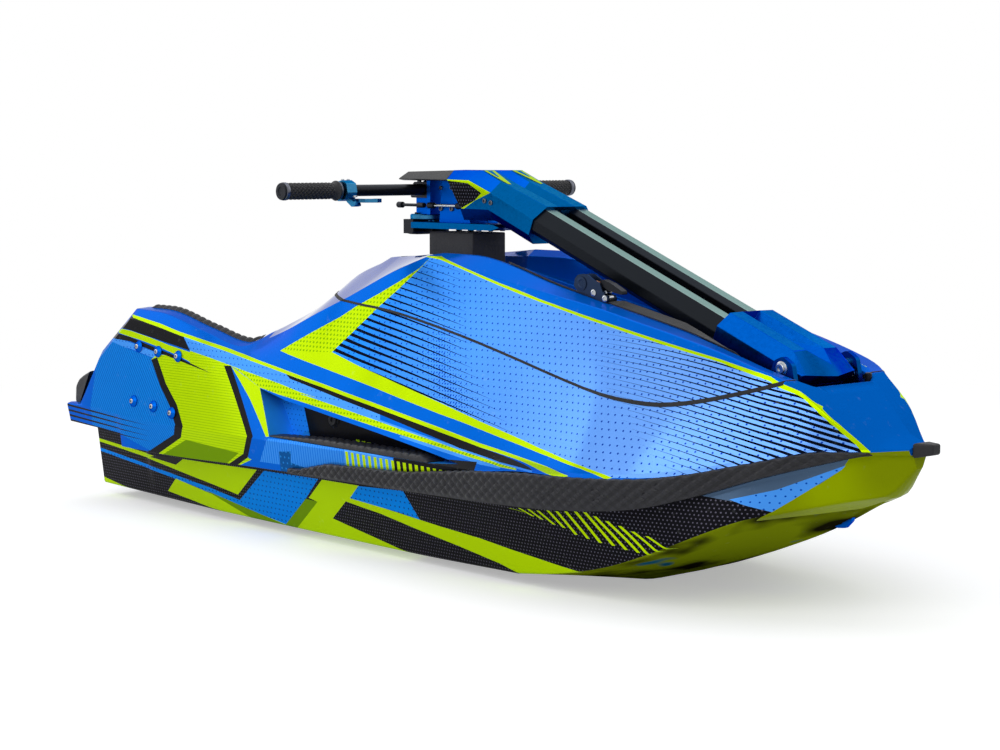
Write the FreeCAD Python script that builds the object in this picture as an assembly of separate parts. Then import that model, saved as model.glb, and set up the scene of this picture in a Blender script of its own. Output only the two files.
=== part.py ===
"""Stand up personal watercraft, in millimetres.

The craft is described from its stern: x runs forward from the stern, y to port and z up
from the keel. Every shape is moved back by half the length when it is written, so the
part's own origin is under the middle of the craft at keel height.
"""
import FreeCAD
import Part
import math
import os

V = FreeCAD.Vector

# ---------------------------------------------------------------- overall sizes
LENGTH = 2050.0          # stern to the tip of the nose bumper
BEAM = 680.0             # over the bond rails
CREST_HEIGHT = 562.0     # keel to the hood's highest edge

# sizes that the section tables below were drawn for
TABLE_LENGTH = 2050.0
TABLE_BEAM = 680.0
TABLE_HEIGHT = 562.0
SX = LENGTH / TABLE_LENGTH
SY = BEAM / TABLE_BEAM
SZ = CREST_HEIGHT / TABLE_HEIGHT

SEAT_GAP = 0.3           # between a piece and what it lies on
BOLT_HOLE_PLAY = 0.05    # radial, pins and shafts in their bores

# ---------------------------------------------------------------- section tables
# bond line between hull and deck: x, z
BOND = [(0, 170), (200, 162), (206, 135), (346, 133), (633, 140), (1330, 154), (1500, 158),
        (1583, 163), (1650, 171), (1737, 195), (1832, 231), (1905, 255), (1974, 273), (2018, 275)]

# hull, one side: x, keel pad half width, keel z, chine y, chine z, side y at the bond line
HULL = [
    (0, 60, 0, 250, 27, 268),
    (445, 60, 0, 255, 19, 285),
    (1055, 60, 0, 255, 17, 295),
    (1355, 60, 0, 255, 21, 298),
    (1450, 52, 0, 256, 34, 294),
    (1566, 40, 28, 258, 60, 280),
    (1672, 32, 64, 250, 98, 246),
    (1755, 26, 96, 226, 136, 208),
    (1810, 22, 119, 188, 162, 172),
    (1870, 18, 148, 136, 180, 130),
    (1940, 12, 186, 72, 198, 80),
    (1975, 8, 201, 30, 206, 50),
    (2018, 5, 252, 8, 254, 18),
]

# deck and hood, one side, from the bond rail over the top to the middle. Columns: x, then
# y and z of the flange edge (z is the bond line's), the crease above it, the long rail on
# the side panel, the top edge, the inner edge, the ledge inside it and the floor edge.
DECK = [
    (0, 332, 340, 208, 337, 210, 330, 212, 262, 212, 256, 202, 250, 192),
    (50, 332, 340, 209, 337, 211, 330, 213, 262, 213, 256, 204, 250, 192),
    (112, 332, 340, 210, 327, 312, 316, 331, 262, 333, 258, 250, 250, 192),
    (222, 332, 340, 201, 316, 404, 300, 424, 258, 427, 254, 260, 250, 192),
    (300, 328, 338, 198, 314, 394, 296, 421, 255, 427, 252, 260, 248, 192),
    (456, 326, 334, 196, 310, 369, 290, 390, 252, 398, 248, 260, 244, 192),
    (575, 326, 334, 197, 305, 351, 283, 367, 250, 378, 244, 260, 238, 192),
    (620, 326, 334, 197, 303, 346, 258, 381, 238, 399, 232, 270, 226, 192),
    (714, 326, 334, 198, 300, 336, 255, 414, 180, 455, 172, 300, 165, 192),
    (770, 326, 334, 199, 299, 328, 240, 442, 128, 520, 118, 320, 108, 192),
    (832, 326, 334, 200, 297, 319, 212, 475, 108, 547, 102, 547, 93, 547),
    (856, 326, 334, 200, 296, 315, 204, 488, 106, 549, 102, 549, 93, 549),
    (860, 326, 334, 200, 296, 314, 203, 490, 106, 549, 98, 545, 93, 530),
    (923, 326, 334, 201, 295, 304, 180, 524, 107, 555, 98, 546, 93, 527),
    (999, 326, 334, 203, 292, 291, 150, 558, 115, 561, 97, 548, 93, 522),
    (1084, 326, 334, 204, 290, 277, 150, 540, 120, 562, 97, 548, 93, 505),
    (1330, 326, 334, 207, 287, 241, 151, 500, 120, 511, 97, 497, 93, 460),
    (1457, 316, 325, 217, 293, 226, 150, 480, 119, 484, 97, 470, 93, 434),
    (1531, 303, 312, 216, 300, 222, 150, 465, 118, 469, 97, 455, 93, 417),
    (1621, 276, 285, 219, 277, 226, 150, 448, 116, 450, 97, 436, 93, 394),
    (1727, 231, 240, 233, 233, 240, 145, 424, 113, 421, 97, 408, 93, 358),
    (1800, 187, 196, 251, 191, 258, 141, 403, 109, 399, 97, 390, 93, 345),
    (1832, 168, 176, 259, 172, 266, 132, 392, 103, 390, 95, 383, 91, 345),
    (1862, 147, 155, 268, 151, 275, 118, 376, 78, 376, 71, 370, 66, 345),
    (1868, 143, 151, 269, 147, 276, 115, 373, 74, 374, 69, 374, 64, 374),
    (1905, 114, 125, 278, 120, 283, 108, 345, 58, 349, 54, 349, 50, 349),
    (1974, 58, 70, 279, 69, 282, 68, 285, 29, 302, 26, 302, 22, 302),
    (2018, 24, 28, 283, 27, 284, 26, 285, 17, 288, 15, 288, 13, 288),
]

# lower edge of the hood where it closes on the deck: x, z
HOOD_SEAM = [(640, 484), (690, 481), (856, 461), (940, 455), (1060, 435), (1220, 405),
             (1471, 351), (1620, 331), (1700, 338), (1800, 364), (1845, 379)]
SEAM_GAP = 4.0

# black panel let into the side above the bond rail: x, z
SIDE_RECESS = [(734, 206), (677, 294), (764, 277), (1067, 239), (1285, 212), (1207, 206)]
RECESS_FLOOR_Y = 272.0

# ---------------------------------------------------------------- stern and pump
TRAY_FLOOR_Z = 192.0
PUMP_AXIS_Z = 90.0 * SZ
PUMP_BORE_R = 70.0 * SZ
PUMP_WALL = 7.0
OUTLET_WALL = 8.0 * SZ
TUNNEL_CLEARANCE = 7.0
TUNNEL_LENGTH = 420.0
RIDE_PLATE = dict(rear=20.0, half_width=110.0, thickness=8.0)
PUMP_REAR = 170.0        # x of the pump's outlet end
IMPELLER_TIP_GAP = 0.6
IMPELLER_X = (290.0, 360.0)
SHAFT_R = 12.0
NOZZLE_R = 46.0 * SZ
NOZZLE_WALL = 5.0
NOZZLE_FRONT_GAP = 20.0
TRIM_RING_R = 66.0 * SZ
TRIM_RING_WALL = 6.0
TRIM_RING_LENGTH = 34.0

INTAKE_HALF_WIDTH = 62.0
INTAKE_MOUTH = (470.0, 785.0)
INTAKE_ROOF_Z = 158.0 * SZ
GRATE_THICKNESS = 10.0
GRATE_TAB = 16.0
GRATE_BARS = 5

# ---------------------------------------------------------------- engine bay
BAY = dict(rear=900.0 * SX, front=1420.0 * SX, half_width=165.0 * SY, floor=32.0 * SZ, top=460.0 * SZ)
ENGINE = dict(rear=950.0 * SX, length=400.0 * SX, half_width=140.0 * SY, height=300.0 * SZ)

# ---------------------------------------------------------------- handle pole
PIVOT_PLACE = 1805.0     # station of the pole's pivot in the tables
CHANNEL_WALL = 1862.0    # station of the wall that closes the channel in front
PIVOT_RISE = 55.0        # pivot above the channel floor in front of the hood
PIVOT_R = 8.0
TUBE_W = 50.0 * SY
TUBE_D = 50.0
TUBE_CHAMFER = 12.0
TUBE_TOP_RISE = 9.0      # tubes' top line above the pivot
TUBE_SPREAD = 44.0 * SY  # middle of a tube to the middle of the craft
HEAD_FORWARD = 217.0     # hood's crest to the top end of the tubes
HEAD_RISE = 80.0
BASE_HALF_WIDTH = 74.0 * SY
HEAD_HALF_WIDTH = 72.0 * SY
EAR_THICKNESS = 10.0 * SY
EAR_GAP = 2.0

# ---------------------------------------------------------------- handlebar
STEER_X_BACK = 401.0     # top end of the tubes back to the steering shaft
BAR_FORWARD = 17.0
BAR_HALF = 370.0
BAR_R = 11.0
GRIP_R = 16.0
GRIP_LENGTH = 132.0
STEER_SHAFT_R = 11.0

OUT = "parts"
os.makedirs(OUT, exist_ok=True)


# ================================================================ helpers
def rail(table, column, x):
    """Straight-line value of one column at a place x along a table."""
    if x <= table[0][0]:
        return table[0][column]
    for low, high in zip(table, table[1:]):
        if x <= high[0]:
            share = (x - low[0]) / (high[0] - low[0])
            return low[column] + share * (high[column] - low[column])
    return table[-1][column]


def between(first, second, x, share):
    """Point on the deck at x, a share of the way from one edge's columns to another's."""
    y = rail(DECK, first, x) + share * (rail(DECK, second, x) - rail(DECK, first, x))
    z = rail(DECK, first + 1, x) + share * (rail(DECK, second + 1, x) - rail(DECK, first + 1, x))
    return y * SY, z * SZ


def stations(*tables):
    """All the x values of the tables, once each, in order."""
    return sorted({row[0] for table in tables for row in table})


def polygon(points):
    return Part.makePolygon([V(*p) for p in points] + [V(*points[0])])


def loft(wires):
    return Part.makeLoft(wires, True, True)


def prism_y(outline, y0, y1):
    """Side-view outline (x, z) pushed from y0 to y1."""
    face = Part.Face(polygon([(x, y0, z) for x, z in outline]))
    return face.extrude(V(0, y1 - y0, 0))


def prism_z(outline, z0, z1):
    """Plan outline (x, y) pushed from z0 to z1."""
    face = Part.Face(polygon([(x, y, z0) for x, y in outline]))
    return face.extrude(V(0, 0, z1 - z0))


def box(x0, x1, y0, y1, z0, z1):
    return Part.makeBox(x1 - x0, y1 - y0, z1 - z0, V(x0, y0, z0))


def rod_x(r, x0, x1, y, z):
    return Part.makeCylinder(r, x1 - x0, V(x0, y, z), V(1, 0, 0))


def rod_y(r, x, y0, y1, z):
    return Part.makeCylinder(r, y1 - y0, V(x, y0, z), V(0, 1, 0))


def rod_z(r, x, y, z0, z1):
    return Part.makeCylinder(r, z1 - z0, V(x, y, z0), V(0, 0, 1))


def both_sides(shape):
    """A shape and its mirror image over the middle plane, starboard first."""
    return shape, shape.mirror(V(0, 0, 0), V(0, 1, 0))


def group(shapes):
    return Part.makeCompound(list(shapes))


def write(node, shape):
    placed = shape.copy()
    placed.translate(V(-LENGTH / 2, 0, 0))
    placed.exportStep(os.path.join(OUT, node + ".step"))


def write_pair(node, starboard):
    right, left = both_sides(starboard)
    write(node + "_right", right)
    write(node + "_left", left)


# ================================================================ hull and deck shells
def mirrored_section(x, half):
    """Closed section at x from one side's points, given as y and z from low to high."""
    near = [(x * SX, -y * SY, z * SZ) for y, z in half]
    far = [(x * SX, y * SY, z * SZ) for y, z in reversed(half)]
    return polygon(near + far)


def hull_half(x):
    pad, keel, chine_y, chine_z, side = [rail(HULL, c, x) for c in range(1, 6)]
    return [(pad, keel), (chine_y, chine_z), (side, rail(BOND, 1, x))]


def deck_half(x):
    flange, crease_y, crease_z = [rail(DECK, c, x) for c in range(1, 4)]
    rest = [rail(DECK, c, x) for c in range(4, 14)]
    pairs = list(zip(rest[0::2], rest[1::2]))
    return [(flange, rail(BOND, 1, x)), (crease_y, crease_z)] + pairs


def shell(table, half):
    return loft([mirrored_section(x, half(x)) for x in stations(table, BOND)])


def tunnel():
    """Space at the stern, open to the rear, that the pump stands in."""
    r = PUMP_BORE_R + PUMP_WALL + TUNNEL_CLEARANCE
    arch = rod_x(r, -1, TUNNEL_LENGTH, 0, PUMP_AXIS_Z)
    return arch.fuse(box(-1, TUNNEL_LENGTH, -r, r, -1, PUMP_AXIS_Z))


def intake_duct():
    """Water way from the grate up to the pump, with the bore that the shaft runs in."""
    rear, front = INTAKE_MOUTH
    outline = [(TUNNEL_LENGTH - 1, 22), (TUNNEL_LENGTH - 1, INTAKE_ROOF_Z), (rear, INTAKE_ROOF_Z),
               (front, -1), (rear - 12, -1)]
    duct = prism_y(outline, -INTAKE_HALF_WIDTH, INTAKE_HALF_WIDTH)
    shaft_way = rod_x(SHAFT_R + 1.0, TUNNEL_LENGTH, BAY["rear"] + 1, 0, PUMP_AXIS_Z)
    return duct.fuse(shaft_way)


def grate_seat(play):
    rear, front = INTAKE_MOUTH
    half = INTAKE_HALF_WIDTH + play
    tabs = [box(rear - GRATE_TAB - 12 - play, rear - 4, -half, half, -1, GRATE_THICKNESS + play),
            box(front - 40, front + GRATE_TAB + play, -half, half, -1, GRATE_THICKNESS + play)]
    return tabs[0].fuse(tabs[1])


def engine_bay():
    return box(BAY["rear"], BAY["front"], -BAY["half_width"], BAY["half_width"],
               BAY["floor"], BAY["top"])


def plate_seat(play):
    p = RIDE_PLATE
    return box(p["rear"] - play, TUNNEL_LENGTH + 20 + play, -p["half_width"] - play,
               p["half_width"] + play, -1, p["thickness"] + play)


def hood_tool(rise):
    """Everything above the hood's lower edge, less the notch that the pole's foot stands in."""
    line = [(x * SX, z * SZ + rise) for x, z in HOOD_SEAM]
    top = 900.0 * SZ
    region = prism_y(line + [(line[-1][0], top), (line[0][0], top)], -BEAM, BEAM)
    notch_y = rail(DECK, 12, 1800) * SY
    notch = box(1725 * SX - rise, LENGTH, -notch_y, notch_y, 0, top)
    return region.cut(notch)


def side_recess():
    outline = [(x * SX, z * SZ) for x, z in SIDE_RECESS]
    floor = RECESS_FLOOR_Y * SY
    return prism_y(outline, -BEAM, -floor), prism_y(outline, floor, BEAM)


def make_shells():
    hull = shell(HULL, hull_half)
    upper = shell(DECK, deck_half)
    cuts = [tunnel(), intake_duct(), engine_bay()]
    for tool in cuts + [grate_seat(SEAT_GAP), plate_seat(SEAT_GAP)]:
        hull = hull.cut(tool)
    for tool in side_recess():
        upper = upper.cut(tool)
    deck = upper.cut(hood_tool(0))
    for tool in cuts:
        deck = deck.cut(tool)
    hood = upper.common(hood_tool(SEAM_GAP))
    hood = hood.cut(box(BAY["rear"], 1300 * SX, -90 * SY, 90 * SY, 0, 420 * SZ))
    seal = upper.common(hood_tool(SEAT_GAP)).cut(hood_tool(SEAM_GAP - SEAT_GAP))
    seal = seal.cut(engine_bay())
    write("hull", hull)
    write("deck", deck)
    write("hood", hood)
    write("hood_seal", seal)


# ================================================================ rails, pads and mats
RAIL_REAR = 800
RAIL_FRONT = 1974
RAIL_THICK = 14.0
# height of the bond rail: x, height
RAIL_HEIGHT = [(832, 10), (923, 28), (1150, 34), (1330, 52), (1457, 58), (1621, 54), (1727, 40),
               (1832, 27), (1905, 22), (1974, 8)]
NOSE_BLOCK = dict(rear=2018.3, half_rear=22.0, half_front=11.0, low=270.0, high=294.0)
MAT_THICK = 8.0
MAT_MARGIN = 6.0
PAD_THICK = 6.0


def bond_rail():
    """Rubber rail round the edge of the flange, on the starboard side."""
    wires = []
    for x in stations(DECK, BOND):
        if not RAIL_REAR <= x <= RAIL_FRONT:
            continue
        inner_low = rail(DECK, 1, x) * SY
        inner_high = inner_low + (rail(DECK, 2, x) - rail(DECK, 1, x)) * SY
        low = rail(BOND, 1, x) * SZ
        crease = rail(DECK, 3, x) * SZ
        high = min(low + rail(RAIL_HEIGHT, 1, x) * SZ, crease)
        share = (high - low) / (crease - low)
        mid = inner_low + share * (inner_high - inner_low)
        thick = RAIL_THICK * SY
        wires.append(polygon([(x * SX, -inner_low - SEAT_GAP, low),
                              (x * SX, -inner_low - thick, low + 2),
                              (x * SX, -mid - thick + 2, high - 5),
                              (x * SX, -mid - SEAT_GAP, high)]))
    return loft(wires)


def nose_bumper():
    n = NOSE_BLOCK
    rear = n["rear"] * SX
    outline = [(rear, -n["half_rear"]), (rear, n["half_rear"]),
               (LENGTH, n["half_front"]), (LENGTH, -n["half_front"])]
    return prism_z(outline, n["low"] * SZ, n["high"] * SZ)


def tray_mat():
    xs = [x for x in stations(DECK) if 0 < x < 770]
    margin = MAT_MARGIN
    side = [(x * SX, rail(DECK, 12, x) * SY - margin - MAT_THICK * 0.3) for x in [20] + xs + [764]]
    outline = [(x, -y) for x, y in side] + [(x, y) for x, y in reversed(side)]
    z = TRAY_FLOOR_Z * SZ + SEAT_GAP
    return prism_z(outline, z, z + MAT_THICK)


def gunwale_pad():
    """Pad along the top of the tray's starboard side."""
    wires = []
    for x in [236] + [x for x in stations(DECK) if 240 < x < 580] + [606]:
        y0, z0 = between(6, 8, x, 0.62)
        y1, z1 = between(6, 8, x, 0.97)
        lift = SEAT_GAP + PAD_THICK
        wires.append(polygon([(x * SX, -y0, z0 + SEAT_GAP), (x * SX, -y1, z1 + SEAT_GAP),
                              (x * SX, -y1 - 2, z1 + lift), (x * SX, -y0 + 3, z0 + lift)]))
    return loft(wires)


# rear profile of the stern pad, top to bottom: x, z
STERN_PAD = [(60, 284), (39, 273), (18, 262), (6, 247), (2, 214)]
STERN_PAD_Y = (262.0, 325.0)


def stern_pad():
    """Rounded pad on the sloping rear end of the starboard gunwale."""
    foot, head = DECK[1], DECK[2]
    lean = (head[0] - foot[0]) / (head[9] - foot[9])
    low, high = STERN_PAD[-1][1], STERN_PAD[0][1]
    points = [(x * SX, z * SZ) for x, z in STERN_PAD]
    for z in (low, high):
        x = foot[0] + (z - foot[9]) * lean
        points.append((x * SX - SEAT_GAP, z * SZ))
    near, far = STERN_PAD_Y
    return prism_y(points, -far * SY, -near * SY)


def make_rails_and_pads():
    write_pair("bond_rail", bond_rail())
    write("nose_bumper", nose_bumper())
    write("tray_mat", tray_mat())
    write_pair("gunwale_pad", gunwale_pad())
    write_pair("stern_pad", stern_pad())


# ================================================================ tray fittings
FOOTHOLD = dict(rear=250.0, length=120.0, radius=118.0, thickness=8.0)
# foothold bolts on the side panel: x, z
FOOTHOLD_BOLTS = [(262, 348), (332, 342), (402, 337), (260, 235), (332, 230), (398, 222)]
CUP_R = 10.0
CUP_THICK = 7.0
CUP_LIFT = 1.8           # keeps a level cup clear of the leaning panel
SIDE_PLUG = dict(x=860.0, z=246.0, r=13.0, thick=5.0)


def panel_y(x, z):
    """Half breadth of the side panel between the crease and the long rail at a height z."""
    low_y, low_z = rail(DECK, 2, x), rail(DECK, 3, x)
    high_y, high_z = rail(DECK, 4, x), rail(DECK, 5, x)
    return low_y + (z - low_z) / (high_z - low_z) * (high_y - low_y)


def foothold():
    f = FOOTHOLD
    wall = rail(DECK, 10, f["rear"] + f["length"]) * SY - 3.0
    floor = TRAY_FLOOR_Z * SZ + MAT_THICK + 2 * SEAT_GAP
    outer = rod_x(f["radius"], f["rear"], f["rear"] + f["length"], -wall, floor)
    inner = rod_x(f["radius"] - f["thickness"], f["rear"] - 1, f["rear"] + f["length"] + 1, -wall, floor)
    quarter = box(f["rear"], f["rear"] + f["length"], -wall, -wall + 2 * f["radius"], floor,
                  floor + 2 * f["radius"])
    return outer.cut(inner).common(quarter)


def foothold_bolts():
    cups = []
    for x, z in FOOTHOLD_BOLTS:
        y = -panel_y(x, z) * SY
        cups.append(rod_y(CUP_R, x * SX, y - CUP_THICK - CUP_LIFT, y - CUP_LIFT, z * SZ))
    return group(cups)


def side_plug():
    p = SIDE_PLUG
    y = -RECESS_FLOOR_Y * SY - SEAT_GAP
    return rod_y(p["r"] * SZ, p["x"] * SX, y - p["thick"], y, p["z"] * SZ)


def make_tray_fittings():
    write_pair("foothold", foothold())
    write_pair("foothold_bolts", foothold_bolts())
    write_pair("side_plug", side_plug())


# ================================================================ pump and driveline
def ride_plate():
    p = RIDE_PLATE
    return box(p["rear"], TUNNEL_LENGTH + 20, -p["half_width"], p["half_width"], 0, p["thickness"])


def intake_grate():
    rear, front = INTAKE_MOUTH
    half = INTAKE_HALF_WIDTH
    solid = box(rear - GRATE_TAB - 12, rear - 4 - SEAT_GAP, -half, half, 0, GRATE_THICKNESS)
    solid = solid.fuse(box(front - 16 + SEAT_GAP, front + GRATE_TAB, -half, half, 0, GRATE_THICKNESS))
    for i in range(GRATE_BARS):
        y = -half + (i + 0.5) * 2 * half / GRATE_BARS
        solid = solid.fuse(box(rear - 20, front + 2, y - 3, y + 3, 0, GRATE_THICKNESS))
    return solid


def pump_housing():
    outer = PUMP_BORE_R + PUMP_WALL
    barrel = rod_x(outer, PUMP_REAR + 90, TUNNEL_LENGTH - SEAT_GAP, 0, PUMP_AXIS_Z)
    cone = Part.makeCone(NOZZLE_R + OUTLET_WALL, outer, 90, V(PUMP_REAR, 0, PUMP_AXIS_Z), V(1, 0, 0))
    housing = barrel.fuse(cone)
    bore = rod_x(PUMP_BORE_R, PUMP_REAR + 90, TUNNEL_LENGTH + 1, 0, PUMP_AXIS_Z)
    throat = Part.makeCone(NOZZLE_R, PUMP_BORE_R, 91, V(PUMP_REAR - 1, 0, PUMP_AXIS_Z), V(1, 0, 0))
    housing = housing.cut(bore.fuse(throat))
    bearing = rod_x(24, PUMP_REAR + 40, IMPELLER_X[0] - 6, 0, PUMP_AXIS_Z)
    for i in range(5):
        vane = box(PUMP_REAR + 60, IMPELLER_X[0] - 12, -2.5, 2.5, PUMP_AXIS_Z + 20,
                   PUMP_AXIS_Z + PUMP_BORE_R + 2)
        vane.rotate(V(0, 0, PUMP_AXIS_Z), V(1, 0, 0), 72 * i)
        vane = vane.common(rod_x(PUMP_BORE_R + 3, 0, 600, 0, PUMP_AXIS_Z))
        bearing = bearing.fuse(vane)
    housing = housing.fuse(bearing.common(rod_x(outer - 1, 0, 600, 0, PUMP_AXIS_Z)))
    housing = housing.cut(rod_x(SHAFT_R + 2 * BOLT_HOLE_PLAY, PUMP_REAR + 80, 600, 0, PUMP_AXIS_Z))
    foot = box(PUMP_REAR + 110, TUNNEL_LENGTH - 20, -20, 20, RIDE_PLATE["thickness"] + SEAT_GAP,
               PUMP_AXIS_Z - PUMP_BORE_R - 2)
    collar_r = outer + TUNNEL_CLEARANCE - SEAT_GAP
    collar = rod_x(collar_r, TUNNEL_LENGTH - 20, TUNNEL_LENGTH - SEAT_GAP, 0, PUMP_AXIS_Z)
    collar = collar.cut(rod_x(PUMP_BORE_R, 0, 600, 0, PUMP_AXIS_Z))
    collar = collar.common(box(0, 600, -200, 200, RIDE_PLATE["thickness"] + SEAT_GAP, 400))
    for pin in trim_trunnions():
        housing = housing.fuse(pin)
    return housing.fuse(foot).fuse(collar)


def impeller():
    x0, x1 = IMPELLER_X
    tip = PUMP_BORE_R - IMPELLER_TIP_GAP
    hub = rod_x(26, x0, x1, 0, PUMP_AXIS_Z)
    for i in range(4):
        wires = []
        for step in range(5):
            x = x0 + 6 + (x1 - x0 - 12) * step / 4
            turn = math.radians(90 * i + 75 * step / 4)
            c, s = math.cos(turn), math.sin(turn)
            corners = [(22, -2.2), (tip - 0.4, -1.6), (tip - 0.4, 1.6), (22, 2.2)]
            wires.append(polygon([(x, r * c - t * s, PUMP_AXIS_Z + r * s + t * c) for r, t in corners]))
        hub = hub.fuse(loft(wires))
    return hub.cut(rod_x(SHAFT_R + SEAT_GAP, 0, 600, 0, PUMP_AXIS_Z))


def driveshaft():
    return rod_x(SHAFT_R, PUMP_REAR + 85, ENGINE["rear"] - 6, 0, PUMP_AXIS_Z)


def make_pump():
    write("ride_plate", ride_plate())
    write("intake_grate", intake_grate())
    write("pump_housing", pump_housing())
    write("impeller", impeller())
    write("driveshaft", driveshaft())


# ================================================================ steering nozzle
NOZZLE_REAR = 36.0
NOZZLE_TRUNNION_X = 122.0
TRIM_TRUNNION_X = PUMP_REAR + 10.0
TRUNNION_R = 4.0


def steering_nozzle():
    """Outlet that swings sideways inside the trim ring on an upright pin above and below."""
    front = PUMP_REAR - NOZZLE_FRONT_GAP
    rear_r = NOZZLE_R - 6
    outer = Part.makeCone(rear_r, NOZZLE_R, front - NOZZLE_REAR, V(NOZZLE_REAR, 0, PUMP_AXIS_Z), V(1, 0, 0))
    inner = Part.makeCone(rear_r - NOZZLE_WALL, NOZZLE_R - NOZZLE_WALL, front - NOZZLE_REAR + 2,
                          V(NOZZLE_REAR - 1, 0, PUMP_AXIS_Z), V(1, 0, 0))
    nozzle = outer.cut(inner)
    reach = TRIM_RING_R - TRIM_RING_WALL + 3
    for low, high in ((PUMP_AXIS_Z - reach, PUMP_AXIS_Z - NOZZLE_R + 7),
                      (PUMP_AXIS_Z + NOZZLE_R - 7, PUMP_AXIS_Z + reach)):
        nozzle = nozzle.fuse(rod_z(TRUNNION_R, NOZZLE_TRUNNION_X, 0, low, high))
    return nozzle


def nozzle_trim_ring():
    """Ring round the nozzle, hinged on the pump outlet so that it tilts up and down."""
    x0 = NOZZLE_TRUNNION_X - TRIM_RING_LENGTH / 2
    x1 = NOZZLE_TRUNNION_X + TRIM_RING_LENGTH / 2
    ring = rod_x(TRIM_RING_R, x0, x1, 0, PUMP_AXIS_Z)
    ring = ring.cut(rod_x(TRIM_RING_R - TRIM_RING_WALL, 0, 600, 0, PUMP_AXIS_Z))
    hole = TRUNNION_R + BOLT_HOLE_PLAY
    ring = ring.cut(rod_z(hole, NOZZLE_TRUNNION_X, 0, 0, 400))
    for y0 in (-TRIM_RING_R + 0.5, TRIM_RING_R - 5.5):
        arm = box(x1 - 12, TRIM_TRUNNION_X + 8, y0, y0 + 5, PUMP_AXIS_Z - 8, PUMP_AXIS_Z + 8)
        ring = ring.fuse(arm)
    return ring.cut(rod_y(hole, TRIM_TRUNNION_X, -100, 100, PUMP_AXIS_Z))


def trim_trunnions():
    """Two short pins on the sides of the pump outlet that carry the trim ring."""
    pins = []
    for y0, y1 in ((-TRIM_RING_R - 1, -NOZZLE_R - 3), (NOZZLE_R + 3, TRIM_RING_R + 1)):
        pins.append(rod_y(TRUNNION_R, TRIM_TRUNNION_X, y0, y1, PUMP_AXIS_Z))
    return pins


# ================================================================ inside and under the bow
TOW_EYE = dict(x=1874.0, length=36.0, drop=20.0, half_thick=4.0, hole_r=4.5)


def engine_block():
    e = ENGINE
    low = BAY["floor"] + SEAT_GAP
    return box(e["rear"], e["rear"] + e["length"], -e["half_width"], e["half_width"],
               low, low + e["height"])


def tow_eye():
    t = TOW_EYE
    x0, x1 = t["x"] - t["length"] / 2, t["x"] + t["length"] / 2
    keel = [(x * SX, rail(HULL, 2, x) * SZ - SEAT_GAP) for x in (x0, 1870, x1)]
    low = keel[0][1] - t["drop"] + 8
    outline = keel + [(x1 * SX - 5, low + 8), (t["x"] * SX + 8, low), (t["x"] * SX - 6, low)]
    plate = prism_y(outline, -t["half_thick"], t["half_thick"])
    return plate.cut(rod_y(t["hole_r"], t["x"] * SX + 1, -20, 20, low + 9))


# ================================================================ pole frame of reference
PIVOT_X = PIVOT_PLACE * SX
CHANNEL_FLOOR_Z = rail(DECK, 13, 1810) * SZ
PIVOT_Z = CHANNEL_FLOOR_Z + PIVOT_RISE
HEAD_X = 999 * SX + HEAD_FORWARD
HEAD_Z = rail(DECK, 9, 999) * SZ + HEAD_RISE
POLE_REACH = math.hypot(HEAD_Z - PIVOT_Z, PIVOT_X - HEAD_X)
POLE_ANGLE = math.atan2(HEAD_Z - PIVOT_Z, PIVOT_X - HEAD_X) - math.asin(TUBE_TOP_RISE / POLE_REACH)
POLE_LENGTH = math.sqrt(POLE_REACH ** 2 - TUBE_TOP_RISE ** 2)


def along_pole(u, w):
    """World x and z of a point u back from the pivot and w above the tubes' top line."""
    c, s = math.cos(POLE_ANGLE), math.sin(POLE_ANGLE)
    v = w + TUBE_TOP_RISE
    return PIVOT_X - u * c + v * s, PIVOT_Z + u * s + v * c


def pole_prism(outline, y0, y1):
    return prism_y([along_pole(u, w) for u, w in outline], y0, y1)


def tube_section(u, y, grow):
    half, cut = TUBE_W / 2 + grow, TUBE_CHAMFER
    low, high = -TUBE_D - grow, grow
    corners = [(-half, low + cut), (-half + cut, low), (half - cut, low), (half, low + cut),
               (half, high - cut), (half - cut, high), (-half + cut, high), (-half, high - cut)]
    points = []
    for dy, w in corners:
        x, z = along_pole(u, w)
        points.append((x, y + dy, z))
    return polygon(points)


def tube(y, u0, u1, grow):
    return loft([tube_section(u0, y, grow), tube_section(u1, y, grow)])


TUBE_START = 38.0
TUBE_END = POLE_LENGTH + 40.0
BASE_LENGTH = 160.0
KNUCKLE_R = 27.0
SLEEVE_LENGTH = 30.0     # head bracket forward of the tubes' top end
SLEEVE_WALL = 3.0
SLEEVE_END = POLE_LENGTH + 64.0   # where the sleeves run into the elbow


def pole_tube():
    return tube(-TUBE_SPREAD, TUBE_START, TUBE_END, 0)


def tube_pockets():
    play = SEAT_GAP
    near = tube(-TUBE_SPREAD, TUBE_START - play, TUBE_END + play, play)
    far = tube(TUBE_SPREAD, TUBE_START - play, TUBE_END + play, play)
    return near, far


def pivot_bore():
    return rod_y(PIVOT_R + BOLT_HOLE_PLAY, PIVOT_X, -BEAM, BEAM, PIVOT_Z)


def pole_base_bracket():
    low = -TUBE_D - 7
    outline = [(BASE_LENGTH, low), (BASE_LENGTH, 15.5), (0, KNUCKLE_R - TUBE_TOP_RISE),
               (0, -KNUCKLE_R - TUBE_TOP_RISE), (30, low)]
    bracket = pole_prism(outline, -BASE_HALF_WIDTH, BASE_HALF_WIDTH)
    bracket = bracket.fuse(rod_y(KNUCKLE_R, PIVOT_X, -BASE_HALF_WIDTH, BASE_HALF_WIDTH, PIVOT_Z))
    slot_half = TUBE_SPREAD - TUBE_W / 2 - 6
    slot = pole_prism([(80, -100), (260, -100), (260, 60), (80, 60)], -slot_half, slot_half)
    bracket = bracket.cut(slot)
    for pocket in tube_pockets():
        bracket = bracket.cut(pocket)
    return bracket.cut(pivot_bore())


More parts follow.
